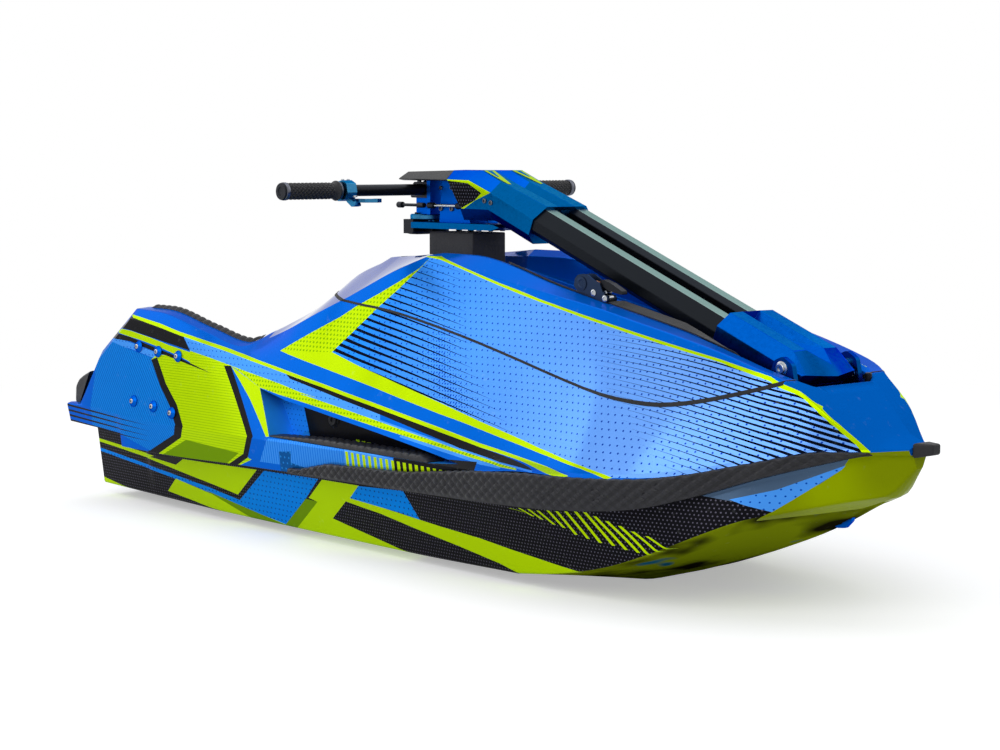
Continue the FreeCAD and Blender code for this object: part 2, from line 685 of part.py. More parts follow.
def pole_mount():
    """Base plate in the channel at the nose with two ears for the pivot pin."""
    z0 = CHANNEL_FLOOR_Z + SEAT_GAP
    ear_in = BASE_HALF_WIDTH + EAR_GAP
    ear_out = ear_in + EAR_THICKNESS
    mount = box(PIVOT_X - 28, PIVOT_X + 22, -ear_out, ear_out, z0 + 5, z0 + 11)
    ear = [(PIVOT_X - 28, z0 + 5), (PIVOT_X + 22, z0 + 5), (PIVOT_X + 16, PIVOT_Z + 4),
           (PIVOT_X + 8, PIVOT_Z + 14), (PIVOT_X - 8, PIVOT_Z + 14), (PIVOT_X - 16, PIVOT_Z + 4)]
    for y0, y1 in ((-ear_out, -ear_in), (ear_in, ear_out)):
        mount = mount.fuse(prism_y(ear, y0, y1))
    mount = mount.fuse(box(PIVOT_X, PIVOT_X + 22, -ear_in, ear_in, z0, z0 + 11))
    rear, front = PIVOT_X + KNUCKLE_R + 6, CHANNEL_WALL * SX - 4
    half = 62 * SY
    wedge = prism_y([(PIVOT_X, z0), (front, z0), (front, z0 + 52), (rear, z0 + 84),
                     (rear, z0 + 11), (PIVOT_X, z0 + 11)], -half, half)
    return mount.fuse(wedge).cut(pivot_bore())


def pole_pivot_pin():
    half = BASE_HALF_WIDTH + EAR_GAP + EAR_THICKNESS + 3
    return rod_y(PIVOT_R, PIVOT_X, -half, half, PIVOT_Z)


# ================================================================ head of the pole
PLATE_TOP = HEAD_Z - 29.0
PLATE_THICK = 10.0
COVER_LOW = HEAD_Z + 58.0
COVER_TOP = HEAD_Z + 72.0
STEER_X = HEAD_X - STEER_X_BACK
BAR_Z = HEAD_Z + 35.0
STEER_DISC_R = 36.0


def pole_head_bracket():
    """Elbow that turns the tubes level and carries the head's plates."""
    low = -TUBE_D - SLEEVE_WALL
    u = POLE_LENGTH - SLEEVE_LENGTH
    bend = (COVER_TOP - PIVOT_Z - (SLEEVE_WALL + TUBE_TOP_RISE) * math.cos(POLE_ANGLE)) / math.sin(POLE_ANGLE)
    top_front = along_pole(SLEEVE_END, SLEEVE_WALL)
    low_front = along_pole(SLEEVE_END, low)
    low_back = along_pole(POLE_LENGTH + 80, low)
    outline = [(HEAD_X - 286, COVER_TOP), along_pole(bend, SLEEVE_WALL), top_front, low_front, low_back,
               (HEAD_X - 136, PLATE_TOP + SEAT_GAP), (HEAD_X - 216, PLATE_TOP + SEAT_GAP),
               (HEAD_X - 251, HEAD_Z + 8), (HEAD_X - 286, COVER_LOW)]
    bracket = prism_y(outline, -HEAD_HALF_WIDTH, HEAD_HALF_WIDTH)
    for y in (-TUBE_SPREAD, TUBE_SPREAD):
        bracket = bracket.fuse(tube(y, u, SLEEVE_END + 1, SLEEVE_WALL))
    for pocket in tube_pockets():
        bracket = bracket.cut(pocket)
    return bracket


def head_plate():
    outline = [(STEER_X - 44, -26), (STEER_X - 20, -50), (HEAD_X - 170, -58), (HEAD_X - 138, -40)]
    outline = outline + [(x, -y) for x, y in reversed(outline)]
    plate = prism_z(outline, PLATE_TOP - PLATE_THICK, PLATE_TOP)
    return plate.cut(rod_z(STEER_SHAFT_R + BOLT_HOLE_PLAY, STEER_X, 0, 0, 1500))


def head_cover():
    rear = STEER_X - 25
    front = HEAD_X - 286 - SEAT_GAP
    outline = [(rear, COVER_LOW), (rear + 8, COVER_TOP - 3), (front, COVER_TOP), (front, COVER_LOW)]
    cover = prism_y(outline, -56, 56)
    tongue = box(front - 1, front, -40, 40, COVER_LOW, COVER_TOP - 1)
    return cover.fuse(tongue)


def pole_stops():
    """Two rubber studs under the head plate that the lowered pole rests on."""
    x0 = 862 * SX + 45
    high = PLATE_TOP - PLATE_THICK - SEAT_GAP
    return group([rod_z(6, x0 + step, 0, high - 5.5, high) for step in (0, 35)])


def pole_rest_block():
    top = PLATE_TOP - PLATE_THICK - SEAT_GAP - 6.0
    feet = [(x * SX, rail(DECK, 13, x) * SZ + SEAT_GAP) for x in (866, 923, 996)]
    return prism_y(feet + [(feet[-1][0], top), (feet[0][0], top)], -41.5, 41.5)


def steering_rod():
    z = PLATE_TOP + 34
    return rod_x(3, STEER_X + 48, HEAD_X - 251.5, -40, z)


# ================================================================ handlebar
def handlebar():
    x = STEER_X + BAR_FORWARD
    return rod_y(BAR_R, x, -BAR_HALF + 3, BAR_HALF - 3, BAR_Z)


def steering_stem():
    """Upright shaft with its disc and the clamp that holds the bar."""
    shaft = rod_z(STEER_SHAFT_R, STEER_X, 0, PLATE_TOP - PLATE_THICK + 1, COVER_LOW - 5)
    disc = rod_z(STEER_DISC_R, STEER_X, 0, PLATE_TOP + 5, PLATE_TOP + 16)
    clamp = box(STEER_X - 22, STEER_X + BAR_FORWARD + 22, -30, 30, BAR_Z - 18, BAR_Z + 16)
    stem = shaft.fuse(disc).fuse(clamp)
    return stem.cut(rod_y(BAR_R + SEAT_GAP, STEER_X + BAR_FORWARD, -100, 100, BAR_Z))


def grip():
    x = STEER_X + BAR_FORWARD
    body = rod_y(GRIP_R, x, -BAR_HALF, -BAR_HALF + GRIP_LENGTH, BAR_Z)
    collar = rod_y(GRIP_R + 3, x, -BAR_HALF + GRIP_LENGTH - 6, -BAR_HALF + GRIP_LENGTH, BAR_Z)
    hole = rod_y(BAR_R + SEAT_GAP, x, -BAR_HALF + 3 - SEAT_GAP, 0, BAR_Z)
    return body.fuse(collar).cut(hole)


def lever(side, reach):
    """Clamp on the bar with a finger lever in front of the grip."""
    x = STEER_X + BAR_FORWARD
    y0 = -BAR_HALF + GRIP_LENGTH + 4
    clamp = box(x - 16, x + 22, y0, y0 + 24, BAR_Z - 17, BAR_Z + 15)
    outline = [(x + 18, y0 + 20), (x + 40, y0 + 12), (x + 52, y0 - reach), (x + 45, y0 - reach),
               (x + 32, y0 + 4), (x + 18, y0 + 8)]
    blade = prism_z(outline, BAR_Z - 12, BAR_Z - 2)
    piece = clamp.fuse(blade).cut(rod_y(BAR_R + SEAT_GAP, x, -BAR_HALF, 0, BAR_Z))
    return both_sides(piece)[side]


# ================================================================ hood strap
STRAP = dict(rear=1175.0, front=1745.0, thick=2.5, near=0.12, far=0.88)
BUCKLE = dict(rear=1350.0, front=1432.0, height=36.0)


def hood_strap():
    s = STRAP
    wires = []
    for x in [s["rear"]] + [x for x in stations(DECK) if s["rear"] < x < s["front"]] + [s["front"]]:
        y0, z0 = between(8, 10, x, s["near"])
        y1, z1 = between(8, 10, x, s["far"])
        lift = SEAT_GAP * 1.5
        wires.append(polygon([(x * SX, -y0, z0 + lift), (x * SX, -y1, z1 + lift),
                              (x * SX, -y1, z1 + lift + s["thick"]), (x * SX, -y0, z0 + lift + s["thick"])]))
    return loft(wires)


def ratchet_buckle():
    b = BUCKLE
    wires = []
    for x, high in ((b["rear"], 0.7), ((b["rear"] + b["front"]) / 2, 1.0), (b["front"], 0.45)):
        y0, z0 = between(8, 10, x, STRAP["near"])
        y1, z1 = between(8, 10, x, STRAP["far"])
        low = SEAT_GAP * 2.5 + STRAP["thick"]
        top = z0 + low + b["height"] * high
        wires.append(polygon([(x * SX, -y0, z0 + low), (x * SX, -y1, z1 + low),
                              (x * SX, -y1, top), (x * SX, -y0, top)]))
    return loft(wires)


def make_pole():
    write_pair("pole_tube", pole_tube())
    write("pole_base_bracket", pole_base_bracket())
    write("pole_mount", pole_mount())
    write("pole_pivot_pin", pole_pivot_pin())
    write("pole_head_bracket", pole_head_bracket())
    write("head_plate", head_plate())
    write("head_cover", head_cover())
    write("pole_stops", pole_stops())
    write("pole_rest_block", pole_rest_block())
    write("steering_rod", steering_rod())


def make_handlebar():
    write("handlebar", handlebar())
    write("steering_stem", steering_stem())
    write_pair("grip", grip())
    write("throttle_lever", lever(0, 70))
    write("trim_lever", lever(1, 22))


def make_fittings():
    write("steering_nozzle", steering_nozzle())
    write("trim_ring", nozzle_trim_ring())
    write("engine_block", engine_block())
    write("tow_eye", tow_eye())
    write("hood_strap", hood_strap())
    write("ratchet_buckle", ratchet_buckle())


make_shells()
make_rails_and_pads()
make_tray_fittings()
make_pump()
make_fittings()
make_pole()
make_handlebar()
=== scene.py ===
import bpy
import bmesh
import math
from functools import partialmethod
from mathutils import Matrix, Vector


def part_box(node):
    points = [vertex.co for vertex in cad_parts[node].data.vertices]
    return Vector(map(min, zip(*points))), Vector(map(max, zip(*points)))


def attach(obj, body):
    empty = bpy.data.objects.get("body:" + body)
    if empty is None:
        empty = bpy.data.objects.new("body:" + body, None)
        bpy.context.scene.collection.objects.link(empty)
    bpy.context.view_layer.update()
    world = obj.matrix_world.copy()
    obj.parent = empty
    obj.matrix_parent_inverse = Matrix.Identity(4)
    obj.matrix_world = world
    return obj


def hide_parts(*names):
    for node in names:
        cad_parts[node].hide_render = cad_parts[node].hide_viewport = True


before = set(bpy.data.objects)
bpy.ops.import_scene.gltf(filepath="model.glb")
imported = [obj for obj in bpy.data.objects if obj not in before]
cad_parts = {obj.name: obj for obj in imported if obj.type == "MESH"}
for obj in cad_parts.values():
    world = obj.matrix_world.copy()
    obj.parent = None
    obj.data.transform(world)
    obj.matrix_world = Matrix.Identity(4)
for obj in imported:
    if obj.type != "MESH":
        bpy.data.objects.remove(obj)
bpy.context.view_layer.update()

LENGTH = 2.05


# ---------------------------------------------------------------- section tables, mm from the stern
BOND = [(0, 170), (200, 162), (206, 135), (346, 133), (633, 140), (1330, 154), (1500, 158),
        (1583, 163), (1650, 171), (1737, 195), (1832, 231), (1905, 255), (1974, 273), (2018, 275)]
HULL = [
    (0, 60, 0, 250, 27, 268), (445, 60, 0, 255, 19, 285), (1055, 60, 0, 255, 17, 295),
    (1355, 60, 0, 255, 21, 298), (1450, 52, 0, 256, 34, 294), (1566, 40, 28, 258, 60, 280),
    (1672, 32, 64, 250, 98, 246), (1755, 26, 96, 226, 136, 208), (1810, 22, 119, 188, 162, 172),
    (1870, 18, 148, 136, 180, 130), (1940, 12, 186, 72, 198, 80), (1975, 8, 201, 30, 206, 50),
    (2018, 5, 252, 8, 254, 18),
]
DECK = [
    (0, 332, 340, 208, 337, 210, 330, 212, 262, 212, 256, 202, 250, 192),
    (50, 332, 340, 209, 337, 211, 330, 213, 262, 213, 256, 204, 250, 192),
    (112, 332, 340, 210, 327, 312, 316, 331, 262, 333, 258, 250, 250, 192),
    (222, 332, 340, 201, 316, 404, 300, 424, 258, 427, 254, 260, 250, 192),
    (300, 328, 338, 198, 314, 394, 296, 421, 255, 427, 252, 260, 248, 192),
    (456, 326, 334, 196, 310, 369, 290, 390, 252, 398, 248, 260, 244, 192),
    (575, 326, 334, 197, 305, 351, 283, 367, 250, 378, 244, 260, 238, 192),
    (620, 326, 334, 197, 303, 346, 258, 381, 238, 399, 232, 270, 226, 192),
    (714, 326, 334, 198, 300, 336, 255, 414, 180, 455, 172, 300, 165, 192),
    (770, 326, 334, 199, 299, 328, 240, 442, 128, 520, 118, 320, 108, 192),
    (832, 326, 334, 200, 297, 319, 212, 475, 108, 547, 102, 547, 93, 547),
    (856, 326, 334, 200, 296, 315, 204, 488, 106, 549, 102, 549, 93, 549),
    (860, 326, 334, 200, 296, 314, 203, 490, 106, 549, 98, 545, 93, 530),
    (923, 326, 334, 201, 295, 304, 180, 524, 107, 555, 98, 546, 93, 527),
    (999, 326, 334, 203, 292, 291, 150, 558, 115, 561, 97, 548, 93, 522),
    (1084, 326, 334, 204, 290, 277, 150, 540, 120, 562, 97, 548, 93, 505),
    (1330, 326, 334, 207, 287, 241, 151, 500, 120, 511, 97, 497, 93, 460),
    (1457, 316, 325, 217, 293, 226, 150, 480, 119, 484, 97, 470, 93, 434),
    (1531, 303, 312, 216, 300, 222, 150, 465, 118, 469, 97, 455, 93, 417),
    (1621, 276, 285, 219, 277, 226, 150, 448, 116, 450, 97, 436, 93, 394),
    (1727, 231, 240, 233, 233, 240, 145, 424, 113, 421, 97, 408, 93, 358),
    (1800, 187, 196, 251, 191, 258, 141, 403, 109, 399, 97, 390, 93, 345),
    (1832, 168, 176, 259, 172, 266, 132, 392, 103, 390, 95, 383, 91, 345),
    (1862, 147, 155, 268, 151, 275, 118, 376, 78, 376, 71, 370, 66, 345),
    (1868, 143, 151, 269, 147, 276, 115, 373, 74, 374, 69, 374, 64, 374),
    (1905, 114, 125, 278, 120, 283, 108, 345, 58, 349, 54, 349, 50, 349),
    (1974, 58, 70, 279, 69, 282, 68, 285, 29, 302, 26, 302, 22, 302),
    (2018, 24, 28, 283, 27, 284, 26, 285, 17, 288, 15, 288, 13, 288),
]
HOOD_SEAM = [(640, 484), (690, 481), (856, 461), (940, 455), (1060, 435), (1220, 405),
             (1471, 351), (1620, 331), (1700, 338), (1800, 364), (1845, 379)]
SEAM_GAP = 4.0
SIDE_RECESS = [(734, 206), (677, 294), (764, 277), (1067, 239), (1285, 212), (1207, 206)]
RECESS_Y = 272.0
BOW_END = 2018
# where along the craft the unprinted finish changes, mm: painted shade under the rail and on the
# bow tip's lime, a matt nose, and painted reflections on the bottom
RAIL_SHADE_START, NOSE_START, BOW_LIME_START, GLOSS_START = 1262, 1850, 1955, 1440
POLISHED_START, POLISHED_END = 640, 1000
# channel in the nose that the hood leaves open: its start in mm, half its width in m
NOTCH_START, NOTCH_HALF = 1725, 0.0935
RAIL_HEIGHT = [(832, 10), (923, 28), (1150, 34), (1330, 52), (1457, 58), (1621, 54), (1727, 40),
               (1832, 27), (1905, 22), (1974, 8)]
# stations where the edges turn sharply instead of curving through
BREAKS = {50, 112, 222, 832, 856, 860, 999, 1862, 1868, 1974}
BOND_BREAKS = {200, 206}


def curve(table, column, x, breaks=()):
    """Value of a column at x: smooth between the sharp stations, with no overshoot."""
    n = len(table)
    if x <= table[0][0]:
        return table[0][column]
    if x >= table[-1][0]:
        return table[-1][column]
    i = max(k for k in range(n - 1) if table[k][0] <= x)
    x0, x1 = table[i][0], table[i + 1][0]
    y0, y1 = table[i][column], table[i + 1][column]
    h = x1 - x0
    d = (y1 - y0) / h

    def slope(k):
        if k in (0, n - 1) or table[k][0] in breaks:
            return None
        h0, h1 = table[k][0] - table[k - 1][0], table[k + 1][0] - table[k][0]
        d0 = (table[k][column] - table[k - 1][column]) / h0
        d1 = (table[k + 1][column] - table[k][column]) / h1
        if d0 * d1 <= 0:
            return 0.0
        w0, w1 = 2 * h1 + h0, h1 + 2 * h0
        return (w0 + w1) / (w0 / d0 + w1 / d1)

    m0, m1 = slope(i), slope(i + 1)
    m0 = d if m0 is None else m0
    m1 = d if m1 is None else m1
    t = (x - x0) / h
    return ((2 * t**3 - 3 * t**2 + 1) * y0 + (t**3 - 2 * t**2 + t) * h * m0
            + (3 * t**2 - 2 * t**3) * y1 + (t**3 - t**2) * h * m1)


def deck_at(column, x):
    return curve(DECK, column, x, BREAKS)


def bond_at(x):
    return curve(BOND, 1, x, BOND_BREAKS)


def side_point(c):
    """Craft millimetres of a scene point seen from the side: from the stern, and up."""
    return (c.x + LENGTH / 2) * 1000, c.z * 1000


def middle_x(face):
    """Craft millimetres from the stern to a face's middle."""
    return side_point(face.calc_center_median())[0]


def line_at(table, x):
    """Straight-line value of a two-column table."""
    if x <= table[0][0]:
        return table[0][1]
    for a, b in zip(table, table[1:]):
        if x <= b[0]:
            return a[1] + (b[1] - a[1]) * (x - a[0]) / (b[0] - a[0])
    return table[-1][1]


def place(x, y, z):
    """Craft millimetres from the stern to scene metres."""
    return Vector((x / 1000 - LENGTH / 2, y / 1000, z / 1000))


def stations(tables, step):
    """Rows of the tables with even steps between them, and close pairs round the sharp ones."""
    marks = sorted({r[0] for t in tables for r in t})
    out = []
    for a, b in zip(marks, marks[1:]):
        k = max(1, round((b - a) / step))
        out += [a + (b - a) * j / k for j in range(k)]
    return out + [marks[-1]]


def rounded(points, radii, steps):
    """Polyline of (y, z) with each inner corner turned into an arc of `steps` + 1 points."""
    out = [points[0]]
    for k in range(1, len(points) - 1):
        a, p, b = Vector(points[k - 1]), Vector(points[k]), Vector(points[k + 1])
        u, v = a - p, b - p
        lu, lv = u.length, v.length
        if lu < 1e-6 or lv < 1e-6:
            out += [tuple(p)] * (steps + 1)
            continue
        u /= lu
        v /= lv
        ang = math.acos(max(-1, min(1, u.dot(v))))
        if ang > math.pi - 0.02:
            reach = min(radii[k], lu * 0.45, lv * 0.45)
        else:
            reach = min(radii[k] / math.tan(ang / 2), lu * 0.45, lv * 0.45)
        s, e = p + u * reach, p + v * reach
        for j in range(steps + 1):
            t = j / steps
            q = s * (1 - t) ** 2 + p * 2 * t * (1 - t) + e * t ** 2
            out.append((q.x, q.y))
    return out + [points[-1]]


# ---------------------------------------------------------------- shells
def deck_columns(x):
    """Half section of the deck at x: (y, z) of its eight edges from the flange up and in."""
    c = [deck_at(k, x) for k in range(1, 14)]
    return [(c[0], bond_at(x)), (c[1], c[2])] + list(zip(c[3::2], c[4::2]))


DECK_RADII = (0, 3, 5, 5, 9, 5, 8, 0)
ARC = 4


def grid(rows):
    """Faces of a grid of rows of points."""
    faces = []
    n = len(rows[0])
    for i in range(len(rows) - 1):
        for j in range(n - 1):
            a = i * n + j
            faces.append((a, a + 1, a + n + 1, a + n))
    return faces


def divided(points, strips):
    """Splits each run of a section into its number of parts. Gives the points and the parts' kinds."""
    out, kinds = [points[0]], []
    for a, b, (kind, parts) in zip(points, points[1:], strips):
        for j in range(1, parts + 1):
            t = j / parts
            out.append((a[0] + (b[0] - a[0]) * t, a[1] + (b[1] - a[1]) * t))
            kinds.append(kind)
    return out, kinds


# number of parts of each run of a deck section: flange rim, lower side, upper side, top,
# inner slope, channel wall, floor
RUNS = (1, 3, 8, 2, 4, 5, 6)


def section_strips():
    kinds = []
    for k, parts in enumerate(RUNS):
        kinds.append((k, parts))
        if k < len(RUNS) - 1:
            half = ARC // 2
            kinds += [(k, 1)] * half + [(k + 1, 1)] * (ARC - half)
    return kinds


def build_deck():
    xs = stations([DECK, BOND], 16)
    kinds = section_strips()
    rows = []
    for x in xs:
        half, strip = divided(rounded(deck_columns(x), DECK_RADII, ARC), kinds)
        floor_y, floor_z = half[-1]
        k = 8
        half = half + [(floor_y * (1 - j / k), floor_z) for j in range(1, k + 1)]
        strip = strip + [len(RUNS)] * k
        right = [place(x, -y, z) for y, z in half]
        left = [place(x, y, z) for y, z in reversed(half[:-1])]
        rows.append(right + left)
        row_strip = strip + strip[::-1]
    verts = [v for r in rows for v in r]
    faces = grid(rows)
    return verts, faces, row_strip * (len(rows) - 1)


def build_hull():
    xs = stations([HULL, BOND], 16)
    rows = []
    radii = (0, 6, 7, 0, 0)
    for x in xs:
        pad, kz, cy, cz, sy = [curve(HULL, c, x, {1355, 445}) for c in range(1, 6)]
        bz = bond_at(x)
        flange = deck_at(1, x)
        pts = [(0, kz), (pad, kz), (cy, cz), (sy, bz), (flange, bz)]
        arc = rounded(pts, radii, ARC)
        runs = [(0, 3)] + [(0, 1)] * 2 + [(1, 1)] * 2 + [(1, 8)] + [(1, 1)] * 2 + [(2, 1)] * 2 \
            + [(2, 8)] + [(3, 1)] * ARC + [(3, 2)]
        arc, kinds = divided(arc, runs)
        right = [place(x, -y, z) for y, z in reversed(arc)]
        left = [place(x, y, z) for y, z in arc[1:]]
        rows.append(right + left)
        row_strip = kinds[::-1] + kinds
    verts = [v for r in rows for v in r]
    return verts, grid(rows), row_strip * (len(rows) - 1)


def clean(bm, dist=2e-5):
    bmesh.ops.remove_doubles(bm, verts=bm.verts, dist=dist)
    bmesh.ops.dissolve_degenerate(bm, edges=bm.edges, dist=dist)


DECK_PAINT = [
    ("panel", [(1003, 554), (988, 533), (958, 496), (926, 462), (894, 425), (848, 373),
        (937, 352), (1052, 327), (1166, 304), (1276, 281), (1330, 271), (1440, 251), (1549, 235),
        (1618, 221), (1665, 224), (1755, 234), (1809, 248), (1861, 258), (1912, 270), (1950, 279),
        (1975, 280), (1960, 295), (1933, 321), (1902, 348), (1878, 365), (1868, 371), (1840, 383),
        (1825, 392), (1807, 397), (1729, 414), (1647, 429), (1557, 445), (1462, 462), (1412, 471),
        (1360, 481), (1308, 491), (1254, 503), (1199, 514), (1142, 527), (1083, 541), (1019, 556),
        (955, 556)]),
    ("lime_dots", [(704, 367), (792, 415), (831, 437), (861, 457), (913, 485), (952, 509),
        (987, 534), (1004, 556), (1003, 554), (988, 533), (958, 496), (926, 462), (894, 425),
        (848, 373)]),
    ("lime", [(704, 367), (832, 345), (952, 325), (1065, 304), (1176, 285), (1230, 277),
        (1337, 259), (1445, 243), (1552, 230), (1609, 218), (1618, 221), (1549, 235), (1440, 251),
        (1330, 271), (1276, 281), (1166, 304), (1052, 327), (937, 352), (848, 373)]),
    ("pale_dots", [(410, 381), (594, 352), (744, 330), (851, 313), (1026, 283), (1038, 263),
        (981, 269), (861, 286), (736, 306), (606, 325), (473, 346), (439, 351)]),
    ("black", [(222, 408), (411, 379), (439, 351), (334, 365), (224, 380), (177, 383)]),
    ("lime_dots", [(579, 330), (638, 321), (736, 307), (800, 296), (921, 280), (1037, 263),
        (1151, 248), (1262, 234), (1375, 222), (1424, 219), (1431, 217), (1385, 217), (1271, 226),
        (1160, 238), (1045, 250), (928, 264), (806, 279), (742, 286), (677, 295)]),
    ("pale", [(1037, 264), (1150, 249), (1374, 223), (1463, 219), (1467, 217), (1377, 221),
        (1265, 232), (1097, 253), (923, 277), (801, 293), (920, 284)]),
    ("black", [(748, 326), (852, 310), (970, 291), (1083, 273), (1193, 256), (1302, 240),
        (1446, 222), (1463, 219), (1372, 223), (1261, 235), (1148, 253), (1032, 273), (916, 292),
        (794, 313), (763, 318)]),
    ("pale", [(1104, 243), (1216, 232), (1327, 221), (1385, 217), (1391, 215), (1335, 216),
        (1220, 227), (1105, 240)]),
    ("lime", [(215, 413), (323, 399), (393, 386), (460, 376), (588, 356), (726, 336), (849, 317),
        (967, 298), (1079, 280), (1189, 263), (1295, 246), (1401, 233), (1538, 218), (1540, 212),
        (1410, 228), (1302, 240), (1193, 256), (1083, 273), (970, 291), (852, 310), (729, 329),
        (599, 349), (468, 369), (400, 379), (329, 391), (229, 406)]),
    ("lime", [(188, 381), (225, 379), (298, 369), (370, 357), (440, 348), (516, 311), (407, 337),
        (336, 351), (263, 362), (161, 374)]),
    ("pale_dots", [(145, 355), (156, 363), (228, 355), (302, 343), (338, 338), (340, 326),
        (304, 330), (230, 342), (143, 347)]),
    ("lime_lines", [(439, 351), (510, 341), (579, 330), (621, 304), (656, 270), (724, 205),
        (678, 158), (607, 132), (551, 128), (344, 131), (296, 132), (405, 179), (412, 200),
        (389, 234), (348, 274), (308, 324), (328, 336), (380, 337), (443, 325)]),
    ("black", [(159, 372), (226, 366), (300, 353), (372, 341), (408, 334), (516, 311), (409, 328),
        (373, 334), (302, 344), (228, 357), (146, 359)]),
    ("lime_deep", [(446, 172), (629, 164), (579, 136), (351, 131)]),
    ("black", [(329, 330), (368, 279), (412, 240), (440, 199), (429, 175), (333, 130), (296, 132),
        (405, 179), (412, 200), (389, 234), (348, 274), (308, 324)]),
    ("black", [(554, 329), (576, 330), (682, 202), (658, 158), (607, 133), (579, 133), (644, 164),
        (663, 200)]),
    ("blue_hatch", [(150, 353), (230, 340), (304, 329), (312, 320), (348, 274), (389, 234),
        (412, 200), (405, 179), (308, 136), (199, 163), (91, 164), (102, 278), (106, 329)]),
    ("blue", [(576, 330), (611, 303), (652, 271), (724, 205), (726, 198), (680, 152), (658, 158),
        (682, 202)]),
    ("lime", [(578, 329), (677, 295), (735, 207), (724, 205), (652, 271), (611, 303)]),
    ("pale_lines", [(731, 203), (833, 207), (968, 212), (967, 168), (842, 157), (697, 154)]),
    ("rib_blue", [(765, 181), (804, 185), (799, 163), (843, 158), (824, 144), (763, 141)]),
    ("lime", [(805, 140), (821, 141), (842, 157), (830, 155)]),
    ("pale", [(970, 209), (1119, 204), (1115, 182), (967, 169)]),
    ("black", [(1114, 211), (1323, 219), (1340, 201), (1115, 180)]),
    ("lime", [(955, 556), (1019, 556), (1083, 541), (1142, 527), (1199, 514), (1254, 503),
        (1308, 491), (1360, 481), (1412, 471), (1462, 462), (1557, 445), (1647, 429), (1729, 414),
        (1807, 397), (1825, 392), (1840, 383), (1868, 371), (1878, 365), (1902, 348), (1933, 321),
        (1960, 295), (1975, 280), (1967, 276), (1955, 291), (1929, 316), (1899, 342), (1876, 360),
        (1866, 365), (1838, 376), (1824, 385), (1807, 390), (1731, 409), (1649, 424), (1559, 440),
        (1464, 457), (1414, 466), (1363, 476), (1311, 486), (1257, 497), (1202, 509), (1145, 522),
        (1087, 536), (1029, 550), (1002, 553)]),
]
HULL_PAINT = [
    ("lime", [(-17, 127), (81, 121), (219, 113), (319, 102), (353, 118), (625, 126), (534, 64),
        (507, 68), (439, 77), (367, 85), (292, 94), (215, 103), (87, 113), (-18, 120)]),
    ("black", [(248, 114), (354, 119), (319, 102), (217, 108)]),
    ("blue_dots", [(-13, 106), (124, 95), (287, 81), (435, 67), (536, 53), (650, 127), (830, 131),
        (773, 86), (679, 20), (532, 42), (498, 46), (358, 65), (205, 80), (-15, 99)]),
    ("lime", [(306, 71), (681, 21), (711, 14), (623, 16), (555, 17), (487, 17), (416, 23),
        (345, 31), (263, 39)]),
    ("lime_deep", [(413, 60), (679, 20), (705, 13), (575, 16)]),
    ("lime", [(-1, 40), (108, 24), (3, 22)]),
    ("lime_deep", [(772, 85), (809, 83), (711, 14), (679, 20)]),
    ("lime", [(842, 131), (958, 133), (919, 104), (1007, 98), (1064, 93), (1173, 83), (1278, 75),
        (1377, 63), (1470, 52), (1518, 47), (1370, 20), (1316, 34), (1216, 51), (1111, 67),
        (1002, 85), (944, 91), (903, 96), (846, 55), (924, 41), (981, 31), (1036, 21), (1062, 17),
        (973, -9), (853, 3), (711, 14), (809, 83), (783, 88)]),
    ("blue_dots", [(955, 132), (1090, 139), (1119, 88), (1064, 94), (919, 104)]),
    # the bow tip's lime, darkened as painted shade
    ("lime_bow_painted_shade", [(1822, 162), (1848, 179), (1931, 249), (1945, 275), (2030, 292), (1984, 209), (1976, 201),
        (1922, 179), (1864, 169)]),
    # grey over the upper half of the pale blue at the bow: painted reflection
    ("grey_painted_reflection", [(1745, 200), (1770, 225), (1945, 275), (1931, 249), (1904, 225), (1812, 191)]),
    ("pale_dots", [(1790, 196), (1850, 214), (1936, 256), (1931, 249), (1848, 179), (1812, 188)]),
]
# ---------------------------------------------------------------- materials
def srgb(r, g, b):
    """Linear colour of an 8-bit one."""
    return tuple(c / 3294.6 if c < 11 else ((c / 255 + 0.055) / 1.055) ** 2.4 for c in (r, g, b))


def toned(colour, k):
    return tuple(min(1.0, c * k) for c in colour)


def put(tree, kind, *inputs, **props):
    """New node of a tree: sockets are linked to its inputs, values are set on them."""
    n = tree.nodes.new("ShaderNode" + kind)
    for k, v in props.items():
        setattr(n, k, v)
    for i, v in enumerate(inputs):
        if isinstance(v, bpy.types.NodeSocket):
            tree.links.new(v, n.inputs[i])
        elif v is not None:
            n.inputs[i].default_value = v
    return n


